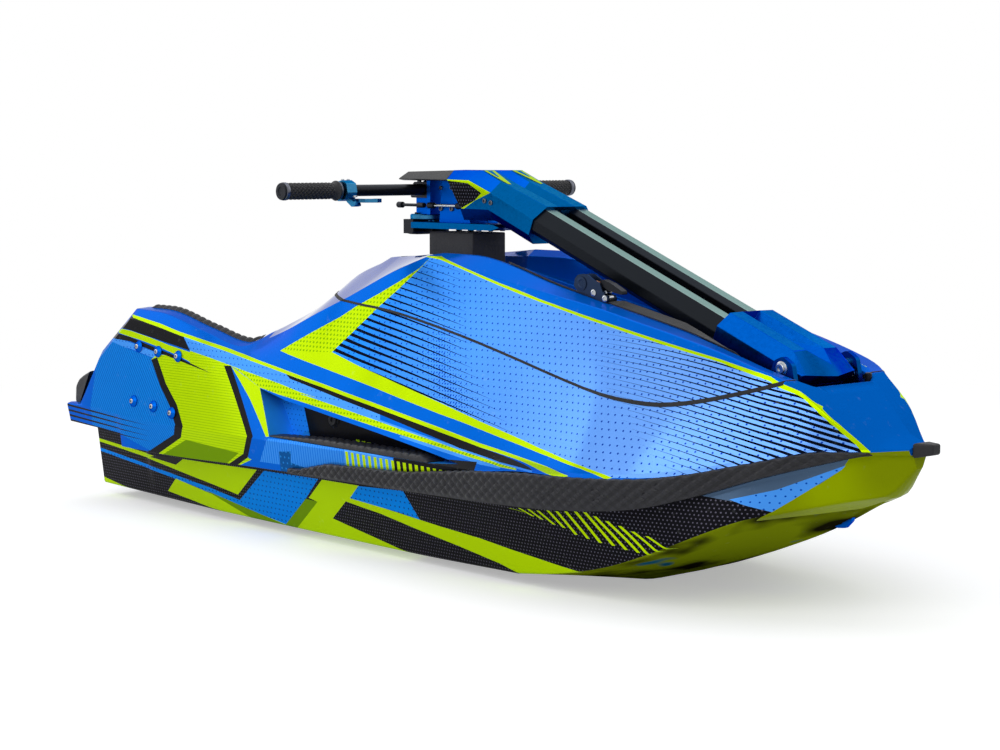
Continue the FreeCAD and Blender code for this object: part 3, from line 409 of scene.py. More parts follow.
class Graph:
    """A material with a Principled shader and short calls for its nodes."""

    def __init__(self, name):
        self.mat = bpy.data.materials.new(name)
        self.mat.use_nodes = True
        self.nt = self.mat.node_tree
        self.bsdf = self.nt.nodes["Principled BSDF"]
        self.where = self.nt.nodes.new("ShaderNodeTexCoord").outputs["Object"]
        split = self.put("SeparateXYZ", self.where)
        self.x, self.y, self.z = split.outputs

    def put(self, kind, *inputs, **props):
        return put(self.nt, kind, *inputs, **props)

    def math(self, op, a, b=0.0):
        return self.put("Math", a, b, operation=op).outputs[0]

    add = partialmethod(math, "ADD")
    sub = partialmethod(math, "SUBTRACT")
    mul = partialmethod(math, "MULTIPLY")
    div = partialmethod(math, "DIVIDE")
    least = partialmethod(math, "MINIMUM")
    most = partialmethod(math, "MAXIMUM")
    less = partialmethod(math, "LESS_THAN")
    fract = partialmethod(math, "FRACT")

    def ramp(self, value, low, high, a=0.0, b=1.0, kind="LINEAR"):
        return self.put("MapRange", value, low, high, a, b, interpolation_type=kind).outputs[0]

    def noise(self, scale, detail=2.0, rough=0.5, where=None):
        n = self.put("TexNoise", where or self.where)
        n.inputs["Scale"].default_value = scale
        n.inputs["Detail"].default_value = detail
        n.inputs["Roughness"].default_value = rough
        return n.outputs["Fac"]

    def mix(self, fac, a, b):
        n = self.put("Mix", fac, data_type="RGBA")
        for i, v in ((6, a), (7, b)):
            if isinstance(v, bpy.types.NodeSocket):
                self.nt.links.new(v, n.inputs[i])
            else:
                n.inputs[i].default_value = (*v, 1)
        return n.outputs[2]

    def along(self, a, b, c=0.0):
        """a x + b y + c z of the point, in metres."""
        dot = self.put("VectorMath", self.where, (a, b, c), operation="DOT_PRODUCT")
        return dot.outputs["Value"]

    def link(self, socket, value):
        self.nt.links.new(value, self.bsdf.inputs[socket])

    def bump(self, height, strength, distance=0.001):
        n = self.put("Bump")
        n.inputs["Strength"].default_value = strength
        n.inputs["Distance"].default_value = distance
        self.nt.links.new(height, n.inputs["Height"])
        self.link("Normal", n.outputs[0])

    def fixed(self, **values):
        for k, v in values.items():
            self.bsdf.inputs[k.replace("_", " ")].default_value = v


def stripes(a, c, pitch, share, tint, shift=0.0):
    """Lines across a x + c z: `share` is the dark part, a number or a call that gives a socket."""
    def layer(g):
        v = g.fract(g.div(g.add(g.along(a, 0, c), 10.0 + shift), pitch))
        return g.less(v, share(g) if callable(share) else share), tint
    return layer


def dots(pitch, row, radius, tint):
    """Staggered rows of round dots seen from the side."""
    def layer(g):
        v = g.div(g.add(g.z, 1.0), row)
        odd = g.mul(g.math("FLOORED_MODULO", g.math("FLOOR", v), 2.0), 0.5)
        u = g.add(g.div(g.add(g.x, 10.0), pitch), odd)
        du = g.mul(g.sub(g.fract(u), 0.5), pitch)
        dv = g.mul(g.sub(g.fract(v), 0.5), row)
        r2 = g.add(g.mul(du, du), g.mul(dv, dv))
        r = radius(g) if callable(radius) else radius
        return g.less(r2, g.mul(r, r)), tint
    return layer


def paint(name, colour, *layers, rough=(0.13, 0.24), grain=0.02, fade=None, coat=0.0, shine=0.02,
          flake=0.3):
    """Glossy printed finish: soft changes of tone, the given layers, and a faintly uneven skin."""
    g = Graph(name)
    peak = max(colour)
    edge = tuple(0.05 + 0.6 * c / peak for c in colour) if peak > 0.05 else (0.3, 0.3, 0.32)
    if fade:
        colour = g.mix(g.ramp(g.x, fade[1], fade[2]), colour, fade[0])
    else:
        colour = g.mix(g.noise(2.1, 2), toned(colour, 0.93), toned(colour, 1.06))
    for layer in layers:
        mask, tint = layer(g)
        colour = g.mix(mask, colour, tint)
    scuffs = g.ramp(g.noise(55, 5, 0.7), 0.62, 0.72)
    colour = g.mix(g.mul(scuffs, 0.05), colour, (0.75, 0.78, 0.8))
    g.link("Base Color", colour)
    g.link("Roughness", g.ramp(g.noise(9, 4, 0.6), 0.3, 0.7, *rough))
    g.bump(g.noise(340, 2), grain)
    g.fixed(Coat_Weight=coat, Coat_Roughness=0.05, Specular_IOR_Level=shine, Metallic=flake,
            Specular_Tint=(*edge, 1))
    return g.mat


def metal(name, colour, rough=(0.24, 0.4), metallic=1.0, brushed=(1, 1, 1), tint=None, grain=0.05):
    """Machined or cast metal: fine marks along one direction, duller patches and dark specks."""
    g = Graph(name)
    stretch = g.put("VectorMath", g.where, brushed, operation="MULTIPLY").outputs[0]
    fine = g.noise(160, 4, 0.65, stretch)
    patch = g.noise(11, 3)
    base = g.mix(patch, toned(colour, 0.86), toned(colour, 1.1))
    if tint:
        base = g.mix(g.ramp(fine, 0.35, 0.75), base, tint)
    g.link("Base Color", g.mix(g.mul(g.ramp(fine, 0.3, 0.6), 0.12), base, toned(colour, 0.6)))
    g.link("Roughness", g.ramp(fine, 0.25, 0.75, *rough))
    g.bump(fine, grain)
    peak = max(colour)
    edge = [min(1.0, 0.1 + 0.7 * c / peak) for c in colour]
    g.fixed(Metallic=metallic, Specular_IOR_Level=0.3, Specular_Tint=(*edge, 1))
    return g.mat


def rubber(name, colour=(0.012, 0.012, 0.014), rough=(0.5, 0.72), scale=420, grain=0.25, sheen=0.0,
           tread=None):
    """Moulded rubber or foam: fine pores, a dusty tone and uneven gloss."""
    g = Graph(name)
    pores = g.noise(scale, 3, 0.6)
    dust = g.ramp(g.noise(14, 4, 0.6), 0.45, 0.8)
    base = g.mix(pores, toned(colour, 0.7), toned(colour, 1.5))
    if tread:
        for lean in (tread[1], -tread[1]):
            cell = g.fract(g.div(g.add(g.along(1, 0, lean), 10.0), tread[0]))
            base = g.mix(g.ramp(cell, 0.0, 0.5, 0.55, 0.0), base, toned(colour, 0.25))
    g.link("Base Color", g.mix(g.mul(dust, 0.12), base, (0.12, 0.12, 0.125)))
    g.link("Roughness", g.ramp(pores, 0.3, 0.7, *rough))
    g.bump(pores, grain)
    g.fixed(Specular_IOR_Level=0.25, Sheen_Weight=sheen)
    return g.mat


BLUE = srgb(0, 98, 206)
PALE = srgb(72, 150, 240)
LIME = srgb(184, 220, 0)
OLIVE = srgb(112, 148, 4)
NAVY = srgb(8, 40, 90)
INK = srgb(8, 12, 26)
BLACK = srgb(18, 18, 22)


def fade_out(g):
    """0 where a rear speed line starts at the chevron, 1 where it ends."""
    over = g.most(g.sub(g.z, 0.373), 0.0)
    start = g.add(g.mul(over, 0.875), -0.177)
    reach = g.sub(0.935, g.mul(g.z, 1.55))
    return g.div(g.sub(g.x, start), reach)


def speed_share(g):
    """Dark share of the rear speed lines: half of the pitch at the chevron's lower corner."""
    first = g.least(0.5, g.sub(1.7, g.mul(g.z, 3.0)))
    return g.mul(first, g.math("POWER", g.most(g.sub(1.0, fade_out(g)), 0.0), 0.8))


def bow_share(g):
    """Dark share of the bow lines, which swell towards the nose."""
    start = g.add(g.mul(g.most(g.sub(0.4, g.z), 0.0), 1.5), 0.405)
    t = g.div(g.sub(g.x, start), g.sub(0.875, start))
    t = g.least(g.most(t, 0.0), 1.05)
    return g.sub(g.mul(g.math("POWER", t, 1.35), 0.52), 0.012)


def bow_lines(tint):
    """Lines a pitch apart on a curved grid, fitted over the bow."""
    def layer(g):
        xx, zz = g.mul(g.x, g.x), g.mul(g.z, g.z)
        total = 42.676
        for value, share in ((g.z, -72.749), (g.x, 5.851), (g.mul(g.x, g.z), 22.167),
                             (xx, -26.323), (zz, -93.446)):
            total = g.add(g.mul(value, share), total)
        share = bow_share(g)
        near = g.fract(g.add(total, g.mul(share, 0.5)))
        return g.less(near, share), tint
    return layer


def cluster_radius(g):
    """Fine dots where the rear speed lines thin out, none elsewhere."""
    off = g.math("ABSOLUTE", g.sub(fade_out(g), 0.76))
    low = g.ramp(g.z, 0.40, 0.46, 1.0, 0.0)
    return g.mul(g.ramp(off, 0.0, 0.2, 0.0018, 0.0), low)


def patches(low, high, tint, scale=5.0, stretch=(1, 1, 1)):
    """Soft patches of another colour: painted reflections."""
    def layer(g):
        where = g.put("VectorMath", g.where, stretch, operation="MULTIPLY").outputs[0]
        return g.ramp(g.noise(scale, 2, 0.5, where), low, high), tint
    return layer


def rising(z0, z1, tint):
    """Another colour that comes in from z0 to z1."""
    def layer(g):
        return g.ramp(g.z, z0, z1), tint
    return layer


# Known fault: some colours hold light that the photo shows. The patches on the bottom at the bow stand in
# for reflections, the lime there and at the bow tip is a lime in shade, the grey on the pale blue at the bow
# is a reflection, and the tones of one anodised or tube finish differ by facet: painted reflection and shade.
MATS = {
    "blue": paint("gelcoat_blue", BLUE),
    "blue_nose": paint("gelcoat_nose", srgb(2, 98, 196), shine=0.0, flake=0.0),
    "blue_gloss": paint("gelcoat_polished", srgb(0, 80, 176), rough=(0.03, 0.08), coat=0.9, shine=0.3),
    "panel": paint("panel_blue", srgb(36, 134, 238), dots(0.0135, 0.0117, 0.0016, srgb(10, 66, 170)),
                   dots(0.0068, 0.0059, cluster_radius, srgb(10, 74, 180)),
                   stripes(0.185, 1, 0.0117, speed_share, INK), bow_lines(INK),
                   fade=(srgb(112, 168, 252), -0.12, 0.62)),
    "lime": paint("lime_print", LIME),
    "lime_dots": paint("lime_dotted", LIME, dots(0.009, 0.008, 0.0021, srgb(122, 168, 0))),
    "lime_lines": paint("lime_lined", LIME, stripes(0, 1, 0.0052, 0.22, srgb(142, 184, 0))),
    "lime_deep": paint("lime_deep", OLIVE),
    # the bow tip's lime, darkened as painted shade, with faint patches of painted reflection
    "lime_bow_painted_shade": paint("lime_bow_painted_shade", srgb(150, 168, 2), patches(0.45, 0.7, srgb(110, 120, 10), 3.0),
                      rough=(0.08, 0.16), flake=0.0),
    # the bottom at the bow: lime darkened as painted shade, with dark and blue patches of painted reflection
    "bottom_gloss": paint("bottom_gloss", srgb(128, 142, 14),
                          patches(0.5, 0.62, srgb(26, 24, 10), 4.0, (1, 2, 3)),
                          patches(0.6, 0.66, srgb(20, 92, 130), 5.5, (1.4, 1.4, 3)),
                          rough=(0.07, 0.14), shine=0.0, flake=0.0),
    "recess_fade": paint("recess_fade", srgb(44, 160, 250), rising(0.25, 0.32, srgb(10, 44, 92)),
                         dots(0.012, 0.010, 0.0013, srgb(12, 70, 150))),
    "rib_blue": paint("rib_blue", srgb(16, 84, 150), dots(0.013, 0.011, 0.002, srgb(40, 130, 214))),
    "pale": paint("pale_blue", PALE),
    "pale_dots": paint("pale_dotted", PALE, dots(0.0125, 0.0108, 0.0014, srgb(6, 70, 168))),
    "pale_lines": paint("pale_lined", srgb(60, 142, 234), stripes(1, 0, 0.0075, 0.35, srgb(30, 116, 220))),
    "blue_dots": paint("blue_dotted", srgb(0, 134, 234), dots(0.013, 0.011, 0.0016, NAVY)),
    "blue_hatch": paint("blue_hatched", srgb(22, 130, 222),
                        stripes(0.75, 0.66, 0.0062, 0.36, srgb(2, 96, 190))),
    # grey over the upper half of the pale blue at the bow: painted reflection
    "grey_painted_reflection": paint("grey_painted_reflection", srgb(74, 96, 122)),
    "black": paint("black_print", BLACK, rough=(0.18, 0.32), shine=0.05, flake=0.0),
    "carbon": paint("carbon_print", BLACK, dots(0.0072, 0.0062, 0.0013, srgb(86, 84, 98)),
                    rough=(0.2, 0.34), shine=0.05),
    # near-black rubber of the seam seal, also laid on the moulding edges beside it as painted shade in the
    # gap
    "shadow": rubber("seam_rubber_and_gap_shade", (0.006, 0.006, 0.007)),
    "inner": paint("inner_gelcoat", srgb(36, 38, 42), rough=(0.35, 0.55), grain=0.08, coat=0.1),
    "anodised": metal("anodised_blue", srgb(2, 80, 136), tint=srgb(4, 92, 152)),
    # a lighter anodised blue; on the elbow's top flats it is painted reflection
    "pale_anodised_and_top_reflection": metal("anodised_pale_and_top_reflection", srgb(44, 108, 150), tint=srgb(64, 128, 166)),
    # a darker anodised blue; on the lower facets and ends of the pole's brackets it is painted shade
    "anodised_dark_and_shade": metal("anodised_dark_and_shade", srgb(2, 44, 100), tint=srgb(4, 56, 120)),
    "anodised_bright": metal("anodised_bright", srgb(0, 84, 186), tint=srgb(2, 94, 202), rough=(0.36, 0.5)),
    # a darker teal anodised blue; on the base knuckle's front faces it is painted shade
    "teal_anodised_and_front_shade": metal("anodised_teal_and_front_shade", srgb(4, 66, 126), tint=srgb(6, 78, 142)),
    "base_blue": metal("anodised_base", srgb(0, 74, 160), tint=srgb(2, 86, 180)),
    "anodised_mid": metal("anodised_mid", srgb(2, 72, 122), tint=srgb(4, 82, 138)),
    # lighter strip on the base knuckle's top flats: painted reflection
    "knuckle_top_reflection": metal("knuckle_top_reflection", srgb(34, 104, 162), tint=srgb(48, 118, 172)),
    "tube_black": metal("tube_black", srgb(13, 15, 18), rough=(0.3, 0.45), metallic=0.6,
                        brushed=(0.04, 1, 1)),
    # lighter and bluer copies of the black tube finish, for its top flats and downward facets: painted
    # reflection
    "tube_top_reflection": metal("tube_top_reflection", srgb(122, 142, 140), rough=(0.3, 0.45), brushed=(0.04, 1, 1)),
    "tube_low_reflection": metal("tube_low_reflection", srgb(16, 22, 36), rough=(0.3, 0.45), metallic=0.6, brushed=(0.04, 1, 1)),
    "bolt_grey": metal("bolt_grey", srgb(96, 98, 106)),
    "steel": metal("bright_steel", srgb(176, 180, 184), rough=(0.18, 0.32)),
    "copper": metal("ratchet_copper", srgb(150, 108, 84)),
    "cast": metal("cast_alloy", srgb(140, 143, 146), rough=(0.35, 0.55), grain=0.2),
    "iron": metal("engine_iron", srgb(60, 62, 66), rough=(0.45, 0.65), grain=0.3),
    "satin_black": metal("satin_black", srgb(20, 21, 24), rough=(0.3, 0.45), metallic=0.4),
    "buckle_dark": metal("buckle_dark", srgb(40, 52, 74), rough=(0.3, 0.45), metallic=0.8),
    "cover_black": rubber("cover_black", srgb(20, 21, 24), rough=(0.35, 0.5), grain=0.1),
    "rail_rubber": rubber("rail_rubber", srgb(35, 35, 40), rough=(0.36, 0.5), scale=300,
                          tread=(0.021, 21 / 17)),
    "rubber_black": rubber("rubber_black", srgb(26, 26, 29)),
    "foam_black": rubber("foam_black", srgb(30, 30, 34), rough=(0.55, 0.75), scale=260, grain=0.4,
                         sheen=0.15),
    "foam_mat": rubber("foam_mat", srgb(34, 35, 39), rough=(0.6, 0.8), scale=200, grain=0.5, sheen=0.2),
    "grip": rubber("grip_rubber", srgb(24, 24, 27), rough=(0.4, 0.55)),
    "laminate": rubber("foothold_laminate", srgb(28, 29, 33), rough=(0.25, 0.4), scale=160, grain=0.2),
    "webbing": rubber("strap_webbing", srgb(20, 20, 23), rough=(0.6, 0.8), scale=500, grain=0.5, sheen=0.2),
}
# ---------------------------------------------------------------- painted shells
def inside(poly, x, z):
    """Is (x, z) inside the side-view outline?"""
    hit = False
    x0, z0 = poly[-1]
    for x1, z1 in poly:
        if (z1 > z) != (z0 > z) and x < (x0 - x1) * (z - z1) / (z0 - z1) + x1:
            hit = not hit
        x0, z0 = x1, z1
    return hit


def side_view(face):
    """Box of a face in side-view millimetres: low x, high x, low z, high z."""
    xs = [v.co.x for v in face.verts]
    zs = [v.co.z for v in face.verts]
    half = LENGTH / 2
    return ((min(xs) + half) * 1000, (max(xs) + half) * 1000, min(zs) * 1000, max(zs) * 1000)


def whole(faces):
    """The faces with their edges and points."""
    geom = set(faces)
    for f in faces:
        geom.update(f.edges)
        geom.update(f.verts)
    return list(geom)


def stencil(bm, poly, strips, layer, test=None):
    """Cuts the mesh along a side-view outline and returns the faces inside it."""
    x0, x1 = min(p[0] for p in poly), max(p[0] for p in poly)
    z0, z1 = min(p[1] for p in poly), max(p[1] for p in poly)
    near = []
    for f in bm.faces:
        if f[layer] in strips and (test is None or test(f)):
            b = side_view(f)
            if b[0] < x1 and b[1] > x0 and b[2] < z1 and b[3] > z0:
                near.append(f)
    px, pz = poly[-1]
    for qx, qz in poly:
        lx, hx, lz, hz = min(px, qx), max(px, qx), min(pz, qz), max(pz, qz)
        some = []
        for f in near:
            b = side_view(f)
            if b[0] <= hx and b[1] >= lx and b[2] <= hz and b[3] >= lz:
                some.append(f)
        if some and (px, pz) != (qx, qz):
            got = bmesh.ops.bisect_plane(
                bm, geom=whole(some), plane_co=place(px, 0, pz), dist=1e-5,
                plane_no=Vector((qz - pz, 0, px - qx)).normalized())
            known = set(near)
            near += [g for g in got["geom"] if isinstance(g, bmesh.types.BMFace) and g not in known]
        px, pz = qx, qz
    out = []
    for f in near:
        if inside(poly, *side_point(f.calc_center_median())):
            out.append(f)
    return out


def soft_normals(bm):
    """Stores area-weighted normals on the points, so that later cuts don't disturb the shading."""
    layer = bm.verts.layers.float_vector.new("soft_normal")
    bm.normal_update()
    for v in bm.verts:
        n = Vector()
        for f in v.link_faces:
            n += f.normal * f.calc_area()
        v[layer] = n.normalized() if n.length > 1e-12 else v.normal
    return layer


def keep_normals(me):
    """Applies the stored normals to the finished mesh."""
    data = me.attributes["soft_normal"].data
    normals = [Vector(d.vector).normalized() for d in data]
    me.normals_split_custom_set_from_vertices(normals)
    me.attributes.remove(me.attributes["soft_normal"])


def soft_layer(bm):
    return bm.verts.layers.float_vector["soft_normal"]


def turned(face, axis, way):
    """Turns a new face so that its normal points along an axis."""
    face.normal_update()
    if face.normal[axis] * way < 0:
        face.normal_flip()
    return face


def lip(bm, edges, depth, layer):
    """Turns an open edge inwards, as the thickness of the moulding; its faces are new ones."""
    made = []
    for e in edges:
        a, b = e.verts
        inner = [v.co - v[layer] * depth for v in (a, b)]
        corners = [bm.verts.new(p) for p in (a.co, b.co, inner[1], inner[0])]
        side = (b.co - a.co).cross(inner[0] - a.co)
        for v in corners:
            v[layer] = side.normalized() if side.length else a[layer]
        made.append(bm.faces.new(corners))
    return made


def front_face(bm, loop):
    """Flat face over a loop of points, with points of its own, that looks forward."""
    face = turned(bm.faces.new([bm.verts.new(v.co) for v in loop]), 0, 1)
    for v in face.verts:
        v[soft_layer(bm)] = Vector((1, 0, 0))
    return face


def capped(bm, x):
    """Closes the open end of a shell at a station x with one flat face that looks forward."""
    at = (x / 1000) - LENGTH / 2
    ring = [e for e in bm.edges if e.is_boundary and all(abs(v.co.x - at) < 1e-4 for v in e.verts)]
    verts = {v for e in ring for v in e.verts}
    nxt = {}
    for e in ring:
        for a, b in (tuple(e.verts), tuple(e.verts)[::-1]):
            nxt.setdefault(a, []).append(b)
    ends = [v for v in verts if len(nxt[v]) == 1]
    start = ends[0] if ends else next(iter(verts))
    loop, before = [start], None
    while True:
        options = [v for v in nxt[loop[-1]] if v is not before]
        if not options or options[0] is start:
            break
        before = loop[-1]
        loop.append(options[0])
    return front_face(bm, loop)


def shell_mesh(build):
    verts, faces, strips = build()
    bm = bmesh.new()
    kind = bm.faces.layers.int.new("strip")
    made = [bm.verts.new(v) for v in verts]
    for f, s in zip(faces, strips):
        quad = [made[i] for i in f]
        bm.faces.new(quad)[kind] = s
    clean(bm)
    bmesh.ops.recalc_face_normals(bm, faces=bm.faces)
    return bm, kind


def painted(bm, kind, table, mats, base):
    """Gives every face its printed area or its area of painted shade or reflection, later areas over earlier
    ones.
    """
    names = list(mats)
    for f in bm.faces:
        f.material_index = names.index(base(f)) if callable(base) else names.index(base)
    for mat, outline in table:
        for f in stencil(bm, outline, {0, 1, 2, 3}, kind):
            f.material_index = names.index(mat)


def as_piece(name, bm, mats, nodes, body="root"):
    me = bpy.data.meshes.new(name)
    bm.to_mesh(me)
    bm.free()
    ob = bpy.data.objects.new(name, me)
    bpy.context.scene.collection.objects.link(ob)
    used = sorted({p.material_index for p in me.polygons})
    for i in used:
        me.materials.append(MATS[mats[i]])
    me.polygons.foreach_set("material_index", [used.index(p.material_index) for p in me.polygons])
    me.polygons.foreach_set("use_smooth", [True] * len(me.polygons))
    if "soft_normal" in me.attributes:
        keep_normals(me)
    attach(ob, body)
    if nodes:
        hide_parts(*nodes)
    return ob


# printed areas with a regular count are worked out, the others are listed as outlines
for k in range(4):
    z = 209 - 11.3 * k
    DECK_PAINT.append(("black", [(-14, z), (170, z - 11), (318, z - 20), (170, z - 14), (-14, z - 5)]))
for k in range(18):
    x = 974 + 16.6 * k
    low, high = 168 + 1.45 * k, 203 - 0.3 * k
    DECK_PAINT.append(("lime", [(x, high), (x + 8.5, high), (x + 8.5, low), (x, low)]))
BAR_TOPS = [(1375, 143), (1400, 146), (1422, 147), (1444, 147), (1468, 150), (1488, 151), (1508, 153),
            (1529, 155), (1548, 156), (1567, 151), (1589, 145), (1612, 139), (1635, 132), (1661, 127)]
BAR_FEET = [(1413, 140), (1430, 135), (1450, 132), (1476, 126), (1497, 123), (1521, 114), (1546, 110),
            (1571, 106), (1597, 104), (1621, 100), (1645, 98), (1665, 96), (1683, 103), (1700, 109)]
for (xt, zt), (xf, zf) in zip(BAR_TOPS, BAR_FEET):
    HULL_PAINT.append(("lime", [(xt, zt), (xt + 7, zt), (xf + 7, zf), (xf, zf)]))

deck_bm, kind = shell_mesh(build_deck)
soft_normals(deck_bm)
MAT_NAMES = list(MATS)


def deck_base(f):
    """Black under the rail as painted shade, matt at the nose, polished on the hood's rear slopes, blue
    elsewhere.
    """
    x = middle_x(f)
    if f[kind] == 0 and x > RAIL_SHADE_START:
        return "black"
    if f[kind] > 0 and x > NOSE_START:
        return "blue_nose"
    return "blue_gloss" if f[kind] > 2 and POLISHED_START < x < POLISHED_END else "blue"


painted(deck_bm, kind, DECK_PAINT, MAT_NAMES, deck_base)
# the flange under the rail is painted black as shade, and at the bow tip it takes the lime darkened as
# painted shade
for f in deck_bm.faces:
    x = middle_x(f)
    if f[kind] == 0 and x > RAIL_SHADE_START:
        f.material_index = MAT_NAMES.index("lime_bow_painted_shade" if x > BOW_LIME_START else "black")


def notch(c):
    """Is a point in the channel at the nose, which the hood leaves open?"""
    return c.x + LENGTH / 2 > NOTCH_START / 1000 and abs(c.y) < NOTCH_HALF


UPPER = {1, 2, 3, 4, 5, 6, 7}
bmesh.ops.bisect_plane(deck_bm, geom=[*deck_bm.verts, *deck_bm.edges, *deck_bm.faces],
                       plane_co=place(NOTCH_START, 0, 0), plane_no=(1, 0, 0), dist=1e-5)
SKY = 900
ROUND_RECESS = [(600, 150), (600, 300), (1300, 300), (1300, 150)]
LIP_DEPTH, SEAL_LIFT = 0.012, 0.0008


def eased(line, passes=2):
    """The same line with its corners cut."""
    for _ in range(passes):
        out = [line[0]]
        for (ax, az), (bx, bz) in zip(line, line[1:]):
            out += [(t * ax + (1 - t) * bx, t * az + (1 - t) * bz) for t in (0.75, 0.25)]
        line = out + [line[-1]]
    return line


SEAM_LINE = eased(HOOD_SEAM)
OVER = [SEAM_LINE + [(SEAM_LINE[-1][0], SKY), (SEAM_LINE[0][0], SKY)]]
OVER.append([(x, z + SEAM_GAP + max(0.0, min(3.0, (x - 1480) / 60))) for x, z in SEAM_LINE] + OVER[0][-2:])
for outline in OVER:
    stencil(deck_bm, outline, UPPER, kind)
stencil(deck_bm, SIDE_RECESS, {0, 1}, kind)
groups = {"deck": set(), "seal": set(), "hood": set(), "recess": set()}
deck_bm.faces.index_update()
for f in deck_bm.faces:
    c = f.calc_center_median()
    x, z = side_point(c)
    part = "deck"
    if f[kind] in UPPER and not notch(c):
        part = "hood" if inside(OVER[1], x, z) else "seal" if inside(OVER[0], x, z) else "deck"
    if part == "deck" and f[kind] < 2 and inside(SIDE_RECESS, x, z):
        part = "recess"
    groups[part].add(f.index)


def part_of(source, keep):
    """Copy of a mesh with only the faces of the given numbers."""
    bm = source.copy()
    bm.faces.ensure_lookup_table()
    gone = [f for f in bm.faces if f.index not in keep]
    bmesh.ops.delete(bm, geom=gone, context="FACES")
    return bm


def seam_edges(bm):
    """Open edges along the hood's seam."""
    out = []
    for e in bm.edges:
        x, z = side_point((e.verts[0].co + e.verts[1].co) / 2)
        if e.is_boundary and 2 < x < BOW_END - 2 and abs(z - bond_at(x)) > 2 \
                and not inside(ROUND_RECESS, x, z):
            out.append(e)
    return out


PARTS = {name: part_of(deck_bm, keep) for name, keep in groups.items()}
deck_bm.free()
DARK = MAT_NAMES.index("shadow")
# the moulding edges along the seam take the seal's near-black: painted shade in the gap
for name in ("deck", "hood"):
    bm = PARTS[name]
    for f in lip(bm, seam_edges(bm), LIP_DEPTH, soft_layer(bm)):
        f.material_index = DARK
bm = PARTS["seal"]
soft = soft_layer(bm)
for v in bm.verts:
    v.co += v[soft] * SEAL_LIFT
for f in bm.faces:
    f.material_index = DARK
bm = PARTS["deck"]
capped(bm, BOW_END).material_index = MAT_NAMES.index("blue")
as_piece("deck_shell", bm, MAT_NAMES, ["deck"])
as_piece("hood_shell", PARTS["hood"], MAT_NAMES, ["hood"])
as_piece("seam_seal", PARTS["seal"], MAT_NAMES, ["hood_seal"])


def sunk_panel(source):
    """Flat floor and walls of the panel let into each side."""
    bm = bmesh.new()
    k = bm.faces.layers.int.new("strip")
    flats = {}
    for f in source.faces:
        corners = []
        for v in f.verts:
            if v not in flats:
                flats[v] = bm.verts.new((v.co.x, math.copysign(RECESS_Y / 1000, v.co.y), v.co.z))
            corners.append(flats[v])
        bm.faces.new(corners)[k] = 1
    for e in source.edges:
        if e.is_boundary:
            a, b = e.verts
            quad = [bm.verts.new(p) for p in (a.co, b.co, flats[b].co, flats[a].co)]
            bm.faces.new(quad)[k] = 2
    source.free()
    bmesh.ops.remove_doubles(bm, verts=bm.verts, dist=1e-5)
    bmesh.ops.dissolve_limit(bm, angle_limit=0.01, verts=bm.verts, edges=bm.edges, delimit={"SHARP"})
    bmesh.ops.recalc_face_normals(bm, faces=bm.faces)
    for f in bm.faces:
        f[k] = 1 if abs(f.normal.y) > 0.99 else 2
        f.material_index = MAT_NAMES.index("black" if f[k] == 1 else "recess_fade")
        mid = f.calc_center_median()
        if f[k] == 1 and f.normal.y * mid.y < 0:
            f.normal_flip()
    for mat, outline in RECESS_PAINT:
        for f in stencil(bm, outline, {1}, k):
            f.material_index = MAT_NAMES.index(mat)
    return bm


RECESS_PAINT = [("recess_fade", [(560, 330), (763, 330), (763, 272), (787, 200), (560, 200)])]
RECESS_PAINT += [("lime", [(927 + 17 * k, 215 - k), (938 + 17 * k, 215 - k), (940 + 17 * k, 200),
                           (929 + 17 * k, 200)]) for k in range(3)]
panel = as_piece("side_recess", sunk_panel(PARTS["recess"]), MAT_NAMES, [])
panel.data.set_sharp_from_angle(angle=math.radians(25))

# ---------------------------------------------------------------- hull, transom and pump tunnel
hull_bm, kind = shell_mesh(build_hull)
soft_normals(hull_bm)


def hull_base(f):
    # forward of the start the bottom is lime darkened as painted shade, with painted reflections
    return "bottom_gloss" if f[kind] < 2 and middle_x(f) > GLOSS_START else "carbon"


painted(hull_bm, kind, HULL_PAINT, MAT_NAMES, hull_base)
# the bow tip takes the lime darkened as painted shade
for f in hull_bm.faces:
    if middle_x(f) > BOW_LIME_START:
        f.material_index = MAT_NAMES.index("lime_bow_painted_shade")
# the open front end of the hull, in order round the loop
tip = [v for v in hull_bm.verts if v.is_boundary and v.co.x > place(BOW_END, 0, 0).x - 0.0001]
mid = (max(v.co.z for v in tip) + min(v.co.z for v in tip)) / 2
tip.sort(key=lambda v: math.atan2(v.co.z - mid, v.co.y))
# the front face takes the lime darkened as painted shade
front_face(hull_bm, tip).material_index = MAT_NAMES.index("lime_bow_painted_shade")
TUNNEL_R, TUNNEL_Z, TUNNEL_END = 84, 90, 420
# holes in the bottom: from x to x, half their width, for the tunnel, ride plate and grate
OPENINGS = [(-1, TUNNEL_END, TUNNEL_R), (19.7, 440.3, 110.3), (441.7, 801.3, 62.3)]
for x0, x1, half in OPENINGS:
    for co, no in ((place(x0, 0, 0), (1, 0, 0)), (place(x1, 0, 0), (1, 0, 0)),
                   (place(0, half, 0), (0, 1, 0)), (place(0, -half, 0), (0, 1, 0))):
        low = [f for f in hull_bm.faces if f.calc_center_median().z < 0.012
               and x0 - 60 < middle_x(f) < x1 + 60]
        bmesh.ops.bisect_plane(hull_bm, geom=whole(low), plane_co=co, plane_no=no, dist=1e-6)
gone = []
for f in hull_bm.faces:
    c = f.calc_center_median()
    x, y = side_point(c)[0], abs(c.y) * 1000
    if c.z < 0.02 and any(x0 < x < x1 and y < half for x0, x1, half in OPENINGS):
        gone.append(f)
bmesh.ops.delete(hull_bm, geom=gone, context="FACES")
as_piece("hull_shell", hull_bm, MAT_NAMES, ["hull"])


